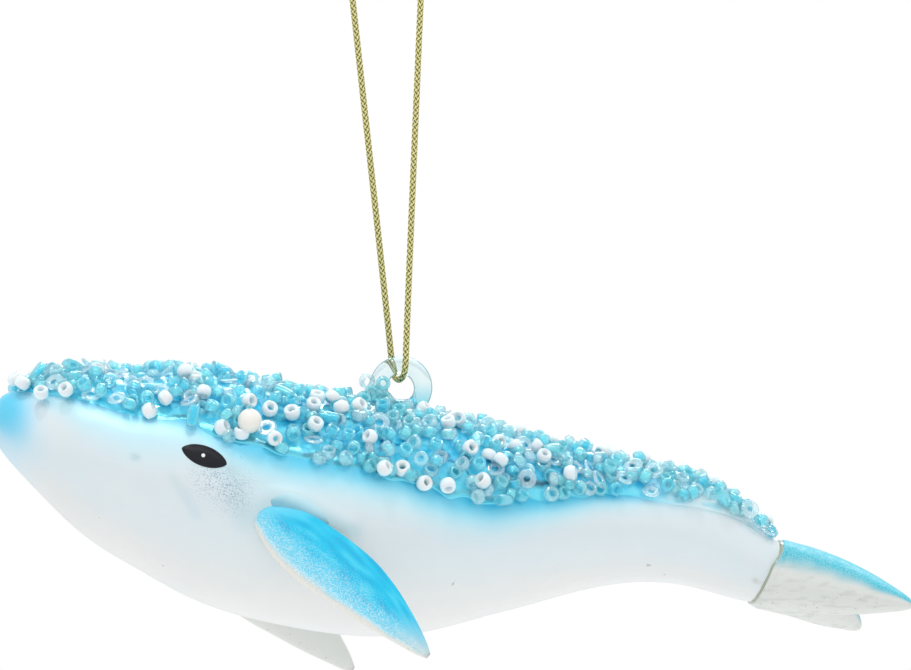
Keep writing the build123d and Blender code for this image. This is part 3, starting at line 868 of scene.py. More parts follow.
class WHALE_OT_body(bpy.types.Operator):
    """Skin the glass body, raise it along the flipper lips and paint it"""
    bl_idname = "whale.body"
    bl_label = "Glass body"

    def execute(self, context):
        chosen = settings().body
        glass = skin()
        grid = glass.points.copy()
        lift = np.zeros(grid.shape[:2])
        haze = np.zeros(grid.shape[:2])
        for name in FLIPPER_WAYS:
            line = lip_line(name)
            way = flipper_frame(name)[1]
            lift += near_line(grid, line, 1.6 * MM) * chosen.lip_height * 0.6
            # painted grey aqua shade in the recess below each lip, and fainter at its front, kept in haze
            under = [place + way * 1.6 * MM for place in line]
            haze = np.maximum(haze, near_line(grid, under, 1.5 * MM))
            haze = np.maximum(haze, 0.5 * near_line(grid, line[:3], 3.0 * MM))
        wave = np.array([[noise.noise(Vector(place) * 70) for place in row] for row in grid])
        lift += wave * 0.10 * MM
        grid = grid + glass.normals * lift[..., None]

        along = glass.along[:, None]
        angle = np.abs(glass.angles)[None, :]
        depth = angle / zone_edge(along)
        points, faces = closed_tube(grid)
        body = piece_from("pearl_body", points, faces)
        paint(body, self.stained(grid, self.lacquered(grid, along, angle, depth, haze)))
        mark(body, self.spray(grid) * 0.85, "speckle")
        mark(body, smooth_step(2.3, 1.0, depth) * 0.9 + 0.1, "gloss")
        mark(body, smooth_step(1.3, 2.2, depth) * smooth_step(0.02, 0.12, along), "pearl")
        body.data.materials.append(lacquer_material())
        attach(body, "whale")
        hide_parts("body_shell")
        return {"FINISHED"}

    def lacquered(self, grid, along, angle, depth, haze):
        """Colours of the lacquer from the belly up, depth being 1 at the lower edge of the beads."""
        chosen = settings().body
        colours = np.zeros(grid.shape) + np.array(chosen.belly_colour)
        colours = mixed(colours, chosen.flank_colour, smooth_step(0.86, 0.60, angle) * np.ones(along.shape))
        # the pale band below the beads, lacquer with a painted reflection of a soft light, reaches further down at the
        # head
        reach = 1.42 + 0.35 * smooth_step(0.30, 0.12, along)
        band_and_reflection = smooth_step(reach, 1.02, depth) * smooth_step(0.93, 0.72, along)
        colours = mixed(colours, chosen.band_and_reflection_colour, band_and_reflection * 0.95)
        # deeper blue close under the beads, then the cyan back, which fades toward the tail
        edge = smooth_step(1.26, 0.98, depth) * smooth_step(0.20, 0.34, along) * smooth_step(0.86, 0.70, along)
        colours = mixed(colours, shade(100, 214, 240), edge * 0.85)
        tail = smooth_step(0.80, 0.90, along) * smooth_step(0.35, 0.75, depth)
        colours = mixed(colours, chosen.back_colour, smooth_step(1.16, 0.93, depth) * (1 - 0.85 * tail))
        # blue haze on the nose, with a paler border
        nose = smooth_step(0.075, 0.008, along) * (0.40 + 0.60 * smooth_step(0.80, 0.35, angle))
        colours = mixed(colours, shade(189, 226, 242), np.clip(nose * 1.6, 0, 1))
        colours = mixed(colours, chosen.nose_colour, smooth_step(0.2, 0.95, nose))
        # painted grey aqua shade at the flipper roots
        return mixed(colours, chosen.root_shade_colour, np.clip(haze, 0, 1) * 0.5)

    def spray(self, grid):
        """How much fine grey spray lies below each eye."""
        speckle = np.zeros(grid.shape[:2])
        eye = skin().seen(*EYE_PIXEL)
        for side in (-1, 1):
            spot = eye * np.array([1, -side, 1])
            speckle = np.maximum(speckle, near_line(grid, [spot, spot + np.array([-3.2, 0, 2.0]) * MM], 2.8 * MM))
        return speckle

    def stained(self, grid, colours):
        """The colours with faint smudges on either side, and one spot of grime."""
        smudge = np.zeros(grid.shape[:2])
        for line, width, strength in SMUDGES:
            spots = [skin().seen(u, v) for u, v in line]
            for side in (-1, 1):
                mirrored = [spot * np.array([1, -side, 1]) for spot in spots]
                smudge = np.maximum(smudge, strength * near_line(grid, mirrored, width * MM))
        colours = mixed(colours, shade(176, 205, 212), smudge)
        grime = skin().seen(*GRIME_PIXEL)
        return mixed(colours, shade(150, 130, 98), 0.7 * near_line(grid, [grime, grime], 0.45 * MM))


class WHALE_OT_ring(bpy.types.Operator):
    """Fuse the clear glass ring to the back"""
    bl_idname = "whale.ring"
    bl_label = "Ring"

    def execute(self, context):
        around, across = 96, 32
        grid = np.zeros((around, across, 3))
        for row in range(around):
            turn = 2 * math.pi * row / around
            way = Vector((math.cos(turn), 0, math.sin(turn)))
            foot = max(0.0, -math.sin(turn)) ** 6
            fat = 1 + RING_WAVER * math.sin(2 * turn + 0.6) + RING_FOOT * foot
            for column in range(across):
                bend = 2 * math.pi * column / across
                out = math.cos(bend) * RING_TUBE * fat * 0.98
                wide = math.sin(bend) * RING_TUBE * (fat + RING_FOOT_WIDTH * foot)
                grid[row, column] = RING_MIDDLE + way * (RING_RADIUS + out) + Vector((0, wide, 0))
        points = grid.reshape(-1, 3)
        ring = piece_from("glass_ring", points, turned_out(points, ring_faces(around, across)))
        ring.data.materials.append(self.glass())
        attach(ring, "whale")
        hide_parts("hanging_ring")
        return {"FINISHED"}

    def glass(self):
        """Clear glass with a teal outline painted as shade at its edge, tinted by the glue at its foot."""
        material, tree, shader = new_material("ring_glass")
        # painted shade: the edge turns dark teal and less clear
        edge = ramp(tree, rim_share(tree, 0.5), 0.46, 0.64)
        place = tree.nodes.new("ShaderNodeTexCoord")
        parts = tree.nodes.new("ShaderNodeSeparateXYZ")
        tree.links.new(place.outputs["Object"], parts.inputs["Vector"])
        foot = ramp(tree, parts.outputs["Z"], -79.0 * MM, -83.2 * MM)
        tint = colour_mix(tree, shade(236, 252, 254), shade(104, 216, 236), foot)
        tint = colour_mix(tree, tint, shade(70, 158, 168), edge)
        tree.links.new(tint, shader.inputs["Base Color"])
        tree.links.new(ramp(tree, edge, 0, 1, 0.92, 0.35), shader.inputs["Transmission Weight"])
        uneven_roughness(tree, shader, 400, 0.02, 0.06)
        constants(shader, IOR=1.42, Coat_Weight=0.15, Coat_Roughness=0.02)
        return material


def blade_relief(cosine, sine, wide, place, width, height):
    """Height of a ridge along a flipper's outer face, lower where the flipper is narrow."""
    return np.exp(-((cosine - place) / width) ** 2) * (sine > 0) * height * min(1, wide * 1.6)


def blade(name):
    """Grid of a flipper with its place along and across each point: a flat outer face and a front rim."""
    root, way, chord, side = flipper_frame(name)
    outward = np.cross(chord, way)
    if outward[1] * side < 0:
        outward = -outward
    along = np.concatenate([np.linspace(-0.06, 0.9, 70), np.linspace(0.91, 0.992, 16)])
    rows = smoothed(FLIPPER_ROWS, along)
    around = 64
    turns = 2 * math.pi * np.arange(around) / around
    grid = np.zeros((len(along), around, 3))
    across = np.zeros((len(along), around))
    face = np.zeros((len(along), around))
    for row, (share, wide, thick, bow) in enumerate(rows):
        cosine, sine = np.cos(turns), np.sin(turns)
        flat = np.sign(sine) * np.abs(sine) ** 0.82
        out = flat * thick * FLIPPER_THICKNESS / 2
        rim = blade_relief(cosine, sine, wide, *FLIPPER_RIM)
        groove = blade_relief(cosine, sine, wide, *FLIPPER_GROOVE)
        centre = root + (way * share - chord * bow) * FLIPPER_LENGTH * MM
        grid[row] = (centre + chord * (cosine * wide * FLIPPER_WIDTH / 2)[:, None] * MM
                     + outward * (out + rim - groove)[:, None] * MM)
        across[row] = cosine
        face[row] = sine
    return grid, along[:, None] + np.zeros((1, around)), across, face


class WHALE_OT_flippers(bpy.types.Operator):
    """Cast and airbrush the two flippers, with the lip of glass over each root"""
    bl_idname = "whale.flippers"
    bl_label = "Flippers"

    def execute(self, context):
        matte = fin_material()
        for name in FLIPPER_WAYS:
            grid, along, across, face = blade(name)
            outer = smooth_step(-0.15, 0.25, face)
            points, faces = closed_tube(grid)
            fin = piece_from(name.replace("_", "_painted_"), points, faces)
            paint(fin, self.airbrushed(grid, along, across, outer))
            mark(fin, smooth_step(0.2, 0.9, across) * 0.5 + 0.15, "specks")
            mark(fin, smooth_step(-0.5, 0.8, across) * outer, "dust")
            fin.data.materials.append(matte)
            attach(fin, "whale")
            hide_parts(name)
        for name in FLIPPER_WAYS:
            self.lip(name)
        return {"FINISHED"}

    def airbrushed(self, grid, along, across, outer):
        """Colours of a flipper: blue that fades toward its front rim and tip, on the outer face alone."""
        chosen = settings().fins
        cloud = np.array([[noise.noise(Vector(place) * 260) for place in row] for row in grid])
        drift = across + 0.16 * cloud
        colours = np.zeros(grid.shape) + np.array(chosen.white_colour)
        soft = smooth_step(0.98, 0.60, drift) * outer
        colours = mixed(colours, chosen.soft_blue_colour, soft * smooth_step(1.10, 0.70, along))
        deep = smooth_step(0.62, -0.15, drift) * smooth_step(1.0, 0.66, along + 0.10 * across)
        deep = deep * smooth_step(-0.02, 0.16, along + 0.10 * across) * outer
        colours = mixed(colours, chosen.blue_colour, deep * 0.95)
        brushed = np.array([[noise.noise(Vector((along[row, 0] * 9, across[row, column] * 5, 4.0)))
                             for column in range(grid.shape[1])] for row in range(grid.shape[0])])
        colours = mixed(colours, shade(0, 162, 210), smooth_step(0.0, 0.5, brushed) * deep * 0.5)
        colours = mixed(colours, shade(96, 220, 240), smooth_step(-0.05, -0.5, brushed) * deep * 0.45)
        worn = smooth_step(0.10, 0.0, along) * outer * smooth_step(-0.2, 0.3, cloud + 0.1)
        colours = mixed(colours, chosen.soft_blue_colour, worn * 0.6)
        colours = mixed(colours, chosen.rim_colour, smooth_step(0.82, 0.94, across + 0.05 * cloud) * outer)
        return mixed(colours, shade(168, 172, 160), smooth_step(0.972, 0.99, along) * 0.5)

    def lip(self, name):
        """The lip of glass over a flipper's root, a ridge that tapers to a point at the back."""
        steps, around = 60, 24
        line = evenly(np.array(lip_line(name)), steps)
        line[1:-1] = (line[:-2] + 2 * line[1:-1] + line[2:]) / 4
        widths = np.interp(np.linspace(0, 1, steps), np.linspace(0, 1, len(LIP_WIDTHS)), LIP_WIDTHS) * MM
        ways = np.gradient(line, axis=0)
        side = flipper_frame(name)[3]
        bends = 2 * math.pi * np.arange(around) / around
        grid = np.zeros((steps, around, 3))
        for row in range(steps):
            normal = skin().tree.find_nearest(Vector(line[row]))[1]
            out = np.array(normal) * (1 if normal.y * side > 0 else -1)
            down = np.cross(ways[row], out)
            down = down / np.linalg.norm(down)
            down = down if down[2] < 0 else -down
            for column, bend in enumerate(bends):
                wide = math.cos(bend) * widths[row] * 1.15
                high = math.sin(bend) * widths[row] * 0.45
                grid[row, column] = line[row] + down * (wide + widths[row] * 0.35) + out * high
        points, faces = closed_tube(grid)
        lip = piece_from(name.replace("flipper", "root_lip"), points, faces)
        shadow = np.tile(smooth_step(-0.6, 0.6, np.cos(bends)), steps)
        pale = np.zeros((steps * around, 3)) + shade(190, 225, 234)
        paint(lip, mixed(pale, shade(108, 180, 200), shadow * 0.9))
        for word, value in (("speckle", 0.0), ("gloss", 0.45), ("pearl", 0.0)):
            mark(lip, np.full(steps * around, value), word)
        lip.data.materials.append(bpy.data.materials["pearl_lacquer"])
        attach(lip, "whale")
        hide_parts(name + "_glue")


# Collar of the fluke: how far back of the neck's end each section lies, in millimetres, and its size
COLLAR_ROWS = [(0.9, 0.90), (0.9, 0.985), (0.2, 1.0), (-0.5, 0.995), (-0.95, 0.97), (-1.0, 0.90)]
FLUKE_VOXEL = 0.22 * MM

# Glue in the tail seam, in millimetres: half width and half height of its ring, and of its own section
SEAM_RING = (5.5, 5.12)
SEAM_SECTION = (0.42, 0.5)


def neck_axes():
    """Middle of the neck's cut end with the ways right, up and back along the neck."""
    middle, up = skin().section(1.0)
    back = Vector((0, 1, 0)).cross(up)
    back = back if back.x > 0 else -back
    return np.array(middle), np.array((0.0, 1.0, 0.0)), np.array(up), np.array(back)


def lobe(side):
    """Grid of one fluke lobe, swept back and out from the neck."""
    middle, right, up, back = neck_axes()
    middle = middle + back * SEAM_GAP * MM
    turn_right = right * math.cos(FLUKE_TURN) + back * math.sin(FLUKE_TURN)
    turn_back = back * math.cos(FLUKE_TURN) - right * math.sin(FLUKE_TURN)
    roll_right = turn_right * math.cos(FLUKE_ROLL) - up * math.sin(FLUKE_ROLL)
    roll_up = up * math.cos(FLUKE_ROLL) + turn_right * math.sin(FLUKE_ROLL)
    rows = smoothed(LOBE_ROWS, np.concatenate([np.linspace(0, 0.9, 46), np.linspace(0.91, 0.988, 10)]))
    around = 56
    turns = 2 * math.pi * np.arange(around) / around
    grid = np.zeros((len(rows), around, 3))
    for row, (depth, out, rise, wide, high, turn) in enumerate(rows):
        part = min(depth / 0.2, 1)
        across, over = (right * (1 - part) + roll_right * part), (up * (1 - part) + roll_up * part)
        centre = middle + (across * side * out * FLUKE_SPAN / 2 + over * rise * FLUKE_ROOT[1]
                           + turn_back * depth * FLUKE_LENGTH) * MM
        lean = math.radians(turn) * side
        chord = across * math.cos(lean) - turn_back * math.sin(lean)
        cosine, sine = np.cos(turns), np.sin(turns)
        sharp = np.sign(cosine) * np.abs(cosine) ** (0.95 + 0.1 * part)
        grid[row] = (centre + chord * (sharp * wide * FLUKE_ROOT[0] / 2)[:, None] * MM
                     + over * (sine * high * FLUKE_ROOT[1] / 2)[:, None] * MM)
    return grid


class WHALE_OT_fluke(bpy.types.Operator):
    """Cast the tail fluke, paint it and lay the glue in its seam"""
    bl_idname = "whale.fluke"
    bl_label = "Tail fluke"

    def execute(self, context):
        middle, right, up, back = neck_axes()
        turns = 2 * math.pi * np.arange(72) / 72
        lower = 1 - 0.75 * smooth_step(0.0, 0.7, np.sin(turns))
        collar = []
        for reach, share in COLLAR_ROWS:
            collar.append(middle + back * MM * (reach if reach > 0 else 0)
                          + back * (np.minimum(reach, 0) * lower)[:, None] * MM
                          + right * (np.cos(turns) * FLUKE_ROOT[0] / 2 * share)[:, None] * MM
                          + up * (np.sin(turns) * FLUKE_ROOT[1] / 2 * share)[:, None] * MM)
        shapes = [closed_tube(lobe(-1)), closed_tube(lobe(1)), closed_tube(np.array(collar))]
        fluke = piece_from("painted_fluke", *joined(shapes))
        remesh = fluke.modifiers.new("fuse", "REMESH")
        remesh.mode = "VOXEL"
        remesh.voxel_size = FLUKE_VOXEL
        soften = fluke.modifiers.new("soften", "SMOOTH")
        soften.factor = 0.5
        soften.iterations = 4
        mesh = finished_mesh(fluke)
        fluke.modifiers.clear()
        fluke.data = mesh
        mesh.shade_smooth()
        self.airbrush(fluke)
        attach(fluke, "whale")
        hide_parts("tail_fluke")
        self.seam()
        return {"FINISHED"}

    def airbrush(self, fluke):
        """Blue along the top of the fluke, and specks below."""
        chosen = settings().fins
        middle, _, up, back = neck_axes()
        places = points_of(fluke)
        normals = np.array([vertex.normal for vertex in fluke.data.vertices])
        local = (places - middle) / MM
        height = local @ up
        depth = local @ back
        facing = normals @ up
        cloud = np.array([noise.noise(Vector(place) * 320) for place in places])
        blue = smooth_step(-0.12, 0.60, facing + 0.12 * cloud) * smooth_step(-1.6, 1.6, height)
        blue = np.maximum(blue, smooth_step(0.15, 0.7, facing) * smooth_step(13, 19, depth) * 0.6)
        colours = np.zeros(places.shape) + np.array(chosen.white_colour)
        streaks = np.array([noise.noise(Vector((place[0] * 420, place[1] * 420, place[2] * 2200)))
                            for place in places])
        colours = mixed(colours, shade(196, 196, 188), smooth_step(0.10, 0.50, streaks) * 0.45)
        paint(fluke, mixed(colours, chosen.fluke_blue_colour, blue))
        mark(fluke, smooth_step(0.3, -0.4, facing) * 0.8, "specks")
        mark(fluke, smooth_step(0.1, 0.6, facing) * 0.4, "dust")
        fluke.data.materials.append(bpy.data.materials["fin_airbrush"])

    def seam(self):
        """A lumpy ring of old glue between the neck and the fluke."""
        middle, right, up, back = neck_axes()
        steps, sides = 120, 12
        rows = []
        for step in range(steps):
            turn = 2 * math.pi * step / steps
            lump = 1 + 0.25 * noise.noise(Vector((math.cos(turn) * 3, math.sin(turn) * 3, 1.0)))
            low = 1.0 if math.sin(turn) < 0 else 0.25 + 0.75 * (1 - min(1.0, math.sin(turn) * 2))
            rim = middle + (right * math.cos(turn) * SEAM_RING[0] + up * math.sin(turn) * SEAM_RING[1]
                            + back * (0.1 - 1.0 * low)) * MM
            out = right * math.cos(turn) + up * math.sin(turn)
            rows.append([rim + (out * math.cos(bend) * SEAM_SECTION[0] * lump
                                + back * math.sin(bend) * SEAM_SECTION[1] * lump) * MM
                         for bend in np.linspace(0, 2 * math.pi, sides, endpoint=False)])
        points = np.array(rows).reshape(-1, 3)
        seam = piece_from("tail_glue", points, turned_out(points, ring_faces(steps, sides)))
        seam.data.materials.append(plain_material(
            "old_glue", tuple(settings().fins.seam_colour), 0.2, 700.0, 0.06 * MM,
            Coat_Weight=0.5, Coat_Roughness=0.06))
        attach(seam, "whale")
        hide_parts("tail_glue_seam")


# The painted eye sits this much above the one of the solids, and slants down toward the tail
EYE_RAISE = 0.62 * MM
EYE_SLANT = math.radians(-20)

# Drops of enamel in millimetres: length, height and how far they stand out
EYE_SIZE = (7.1, 3.15, 0.36)
GLINT_SIZE = (0.95, 0.95, 0.50)


class WHALE_OT_eyes(bpy.types.Operator):
    """Paint the two enamel eyes and their glints"""
    bl_idname = "whale.eyes"
    bl_label = "Eyes"

    def execute(self, context):
        black = plain_material("black_enamel", (0.010, 0.010, 0.015), 0.28, 900.0, 0.02 * MM,
                               Specular_IOR_Level=0.22)
        white = plain_material("white_enamel", (0.86, 0.87, 0.88), 0.15, 900.0, 0.02 * MM,
                               Coat_Weight=0.5, Coat_Roughness=0.05)
        for side, word in ((-1, "left"), (1, "right")):
            low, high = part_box(f"{word}_eye")
            middle = (low + high) / 2 + Vector((0, 0, EYE_RAISE))
            self.dome(f"{word}_enamel_eye", f"{word}_eye", middle, side, EYE_SIZE, EYE_SLANT,
                      black, "eye_enamel")
            low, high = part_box(f"{word}_eye_glint")
            middle = (low + high) / 2 + Vector((0, 0, EYE_RAISE))
            self.dome(f"{word}_enamel_glint", f"{word}_eye_glint", middle, side, GLINT_SIZE, 0.0,
                      white, "glint_enamel")
        return {"FINISHED"}

    def dome(self, name, node, middle, side, size, slant, material, slot):
        """A drop of enamel with an almond outline, or a round one where its length is its height."""
        length, height, rise = size
        rings, around = 9, 64
        grid = np.zeros((rings + 1, around, 3))
        for ring in range(rings + 1):
            share = min((ring + 1) / rings, 1.0)
            for step in range(around):
                turn = 2 * math.pi * step / around
                x, z = math.cos(turn), math.sin(turn)
                if length > height:
                    z = math.copysign((1 - min(x * x, 1.0)) ** 0.68, z)
                along, over = x * share * length / 2, z * share * height / 2
                turned_x = along * math.cos(slant) - over * math.sin(slant)
                turned_z = along * math.sin(slant) + over * math.cos(slant)
                spot = skin().beside(middle.x + turned_x * MM, middle.z + turned_z * MM, side)
                lift = rise * (1 - share ** 2.6) + 0.06 if ring < rings else -0.25
                grid[ring, step] = spot + np.array([0, side * lift * MM, 0])
        points, faces = closed_tube(grid)
        drop = piece_from(name, points, faces)
        drop.data.materials.append(material)
        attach(drop, "whale")
        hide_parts(node)


# Beads: diameter, length along the hole and hole in millimetres, and the slot of the material

BEAD_KINDS = {
    "white_seed_beads": (2.5, 1.8, 0.8, "white_bead_glass"),
    "aqua_seed_beads": (2.3, 1.6, 0.9, "aqua_bead_glass"),
    "clear_seed_beads": (2.5, 1.5, 0.9, "clear_bead_glass"),
    "clear_sequins": (3.2, 0.5, 0.9, "sequin_film"),
    "aqua_bugle_beads": (1.9, 3.5, 0.8, "bugle_glass"),
}


def bead_places(node, size):
    """Centre and hole direction of each bead of a node."""
    places = points_of(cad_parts[node])
    total = len(places)
    for count in range(1, total):
        if total % count:
            continue
        groups = places.reshape(count, -1, 3)
        if (groups.max(1) - groups.min(1)).max() < size * 1.25 * MM:
            break
    result = []
    for group in groups:
        values, ways = np.linalg.eigh(np.cov((group - group.mean(0)).T))
        flat = values[1] - values[0] > values[2] - values[1]
        result.append((group.mean(0), ways[:, 0] if flat else ways[:, 2]))
    return result


def bead_tree():
    """Node tree that sets a bead on each point, turned by the point's own angles."""
    tree = bpy.data.node_groups.new("beads_on_points", "GeometryNodeTree")
    face = tree.interface
    face.new_socket(name="Geometry", in_out="INPUT", socket_type="NodeSocketGeometry")
    for name, default in (("Outer Diameter", 2.3 * MM), ("Length", 1.6 * MM), ("Hole Diameter", 0.9 * MM),
                          ("Size Spread", 0.05)):
        socket = face.new_socket(name=name, in_out="INPUT", socket_type="NodeSocketFloat")
        socket.default_value = default
    for name, default in (("Steps Round", 14), ("Steps Across", 6), ("Seed", 1)):
        socket = face.new_socket(name=name, in_out="INPUT", socket_type="NodeSocketInt")
        socket.default_value = default
    face.new_socket(name="Material", in_out="INPUT", socket_type="NodeSocketMaterial")
    face.new_socket(name="Geometry", in_out="OUTPUT", socket_type="NodeSocketGeometry")
    new, link = tree.nodes.new, tree.links.new
    given, result = new("NodeGroupInput"), new("NodeGroupOutput")

    def maths(operation, first, second):
        node = new("ShaderNodeMath")
        node.operation = operation
        for socket, value in zip(node.inputs, (first, second)):
            if isinstance(value, (int, float)):
                socket.default_value = value
            else:
                link(value, socket)
        return node.outputs["Value"]

    outer, hole = given.outputs["Outer Diameter"], given.outputs["Hole Diameter"]
    middle_radius = maths("MULTIPLY", maths("ADD", outer, hole), 0.25)
    wall = maths("MULTIPLY", maths("SUBTRACT", outer, hole), 0.5)
    big = new("GeometryNodeCurvePrimitiveCircle")
    link(given.outputs["Steps Round"], big.inputs["Resolution"])
    link(middle_radius, big.inputs["Radius"])
    small = new("GeometryNodeCurvePrimitiveCircle")
    link(given.outputs["Steps Across"], small.inputs["Resolution"])
    small.inputs["Radius"].default_value = 0.5
    size = new("ShaderNodeCombineXYZ")
    link(wall, size.inputs["X"])
    link(given.outputs["Length"], size.inputs["Y"])
    size.inputs["Z"].default_value = 1.0
    stretch = new("GeometryNodeTransform")
    link(small.outputs["Curve"], stretch.inputs["Geometry"])
    link(size.outputs["Vector"], stretch.inputs["Scale"])
    sweep = new("GeometryNodeCurveToMesh")
    link(big.outputs["Curve"], sweep.inputs["Curve"])
    link(stretch.outputs["Geometry"], sweep.inputs["Profile Curve"])
    angles = new("GeometryNodeInputNamedAttribute")
    angles.data_type = "FLOAT_VECTOR"
    angles.inputs["Name"].default_value = "turn"
    turn = new("FunctionNodeEulerToRotation")
    link(angles.outputs["Attribute"], turn.inputs["Euler"])
    dice = new("FunctionNodeRandomValue")
    dice.data_type = "FLOAT"
    link(maths("SUBTRACT", 1.0, given.outputs["Size Spread"]), dice.inputs[2])
    link(maths("ADD", 1.0, given.outputs["Size Spread"]), dice.inputs[3])
    link(given.outputs["Seed"], dice.inputs["Seed"])
    scatter = new("GeometryNodeInstanceOnPoints")
    link(given.outputs["Geometry"], scatter.inputs["Points"])
    link(sweep.outputs["Mesh"], scatter.inputs["Instance"])
    link(turn.outputs["Rotation"], scatter.inputs["Rotation"])
    link(dice.outputs[1], scatter.inputs["Scale"])
    tone = new("FunctionNodeRandomValue")
    tone.data_type = "FLOAT"
    link(maths("ADD", given.outputs["Seed"], 17), tone.inputs["Seed"])
    store = new("GeometryNodeStoreNamedAttribute")
    store.data_type = "FLOAT"
    store.domain = "INSTANCE"
    store.inputs["Name"].default_value = "tone"
    link(scatter.outputs["Instances"], store.inputs["Geometry"])
    link(tone.outputs[1], store.inputs["Value"])
    real = new("GeometryNodeRealizeInstances")
    link(store.outputs["Geometry"], real.inputs["Geometry"])
    smooth = new("GeometryNodeSetShadeSmooth")
    link(real.outputs["Geometry"], smooth.inputs["Geometry"])
    dress = new("GeometryNodeSetMaterial")
    link(smooth.outputs["Geometry"], dress.inputs["Geometry"])
    link(given.outputs["Material"], dress.inputs["Material"])
    link(dress.outputs["Geometry"], result.inputs["Geometry"])
    return tree


# Beads that climb the foot of the ring on both sides, in millimetres
RING_BEADS = [
    ("aqua_seed_beads", (-2.2, -1.5, -80.9)), ("clear_seed_beads", (-2.8, -0.7, -79.1)),
    ("aqua_seed_beads", (-0.5, -1.9, -79.5)), ("aqua_seed_beads", (-0.1, -1.9, -81.9)),
    ("clear_seed_beads", (-3.6, -0.9, -82.3)), ("aqua_seed_beads", (-1.7, -1.6, -82.7)),
    ("aqua_seed_beads", (1.6, -1.9, -83.3)), ("clear_seed_beads", (3.4, -1.9, -83.6)),
    ("clear_seed_beads", (-1.4, 1.6, -80.8)), ("aqua_seed_beads", (0.3, 1.9, -82.4)),
    ("clear_seed_beads", (5.6, 1.7, -83.6)), ("aqua_seed_beads", (-3.3, 0.9, -81.9)),
]

# Pearls in millimetres
PEARL_RADIUS = 1.85
PEARL_HOLE_RADIUS = 0.4

# Fillers: kinds in the mix, their least distance from other beads, how far off the glass, tries for each
FILLER_MIX = ["aqua_seed_beads"] * 9 + ["clear_seed_beads"] * 6 + ["clear_sequins"] * 2 + ["white_seed_beads"]
FILLER_SPACING = 1.45 * MM
FILLER_HEIGHTS = (0.7, 1.0)
FILLER_TRIES = 40
FINDER_TRIES = 60

# Fillers get fewer in the outer part of the glue, where this share is kept, and from here to the tail
FILLER_EDGE = 0.84
FILLER_EDGE_KEPT = 0.7
FILLER_TAIL = 0.84
FILLER_TAIL_LOSS = 4


def fill_beads(taken, count, seed):
    """Places of more beads that lie deep in the glue, between those of the solids."""
    dice = random.Random(seed)
    full = list(taken)
    found = {name: [] for name in BEAD_KINDS}
    for name, spot in RING_BEADS:
        full.append(np.array(spot) * MM)
        tilt = Vector((dice.uniform(-0.5, 0.5), -1, dice.uniform(-0.4, 0.4))).normalized()
        found[name].append((full[-1], np.array(tilt) * (1 if spot[1] < 0 else -1)))
    for trial in range(count * FILLER_TRIES):
        if sum(map(len, found.values())) >= count:
            break
        if trial % FINDER_TRIES == 0:
            finder = KDTree(len(full))
            for index, place in enumerate(full):
                finder.insert(Vector(place), index)
            finder.balance()
        share = dice.uniform(0.032, 0.985)
        edge = float(zone_edge(share)) * 0.99
        angle = dice.uniform(-edge, edge)
        name = dice.choice(FILLER_MIX)
        odds, lean, spin = dice.random(), dice.uniform(0, 1), dice.uniform(0, 2 * math.pi)
        if abs(angle) > edge * FILLER_EDGE and odds > FILLER_EDGE_KEPT:
            continue
        if odds < FILLER_TAIL_LOSS * (share - FILLER_TAIL):
            continue
        foot, normal = skin().at(share, angle)
        centre = foot + normal * dice.uniform(*FILLER_HEIGHTS) * MM
        if finder.find(Vector(centre))[2] < FILLER_SPACING:
            continue
        if any(np.linalg.norm(place - centre) < FILLER_SPACING for place in full[-FINDER_TRIES:]):
            continue
        full.append(centre)
        tilt = lean * math.radians(35 if name == "clear_sequins" else 80)
        flat = Vector(normal).orthogonal().normalized()
        flat.rotate(Matrix.Rotation(spin, 3, Vector(normal)))
        way = Vector(normal) * math.cos(tilt) + flat * math.sin(tilt)
        found[name].append((centre, np.array(way)))
    return found


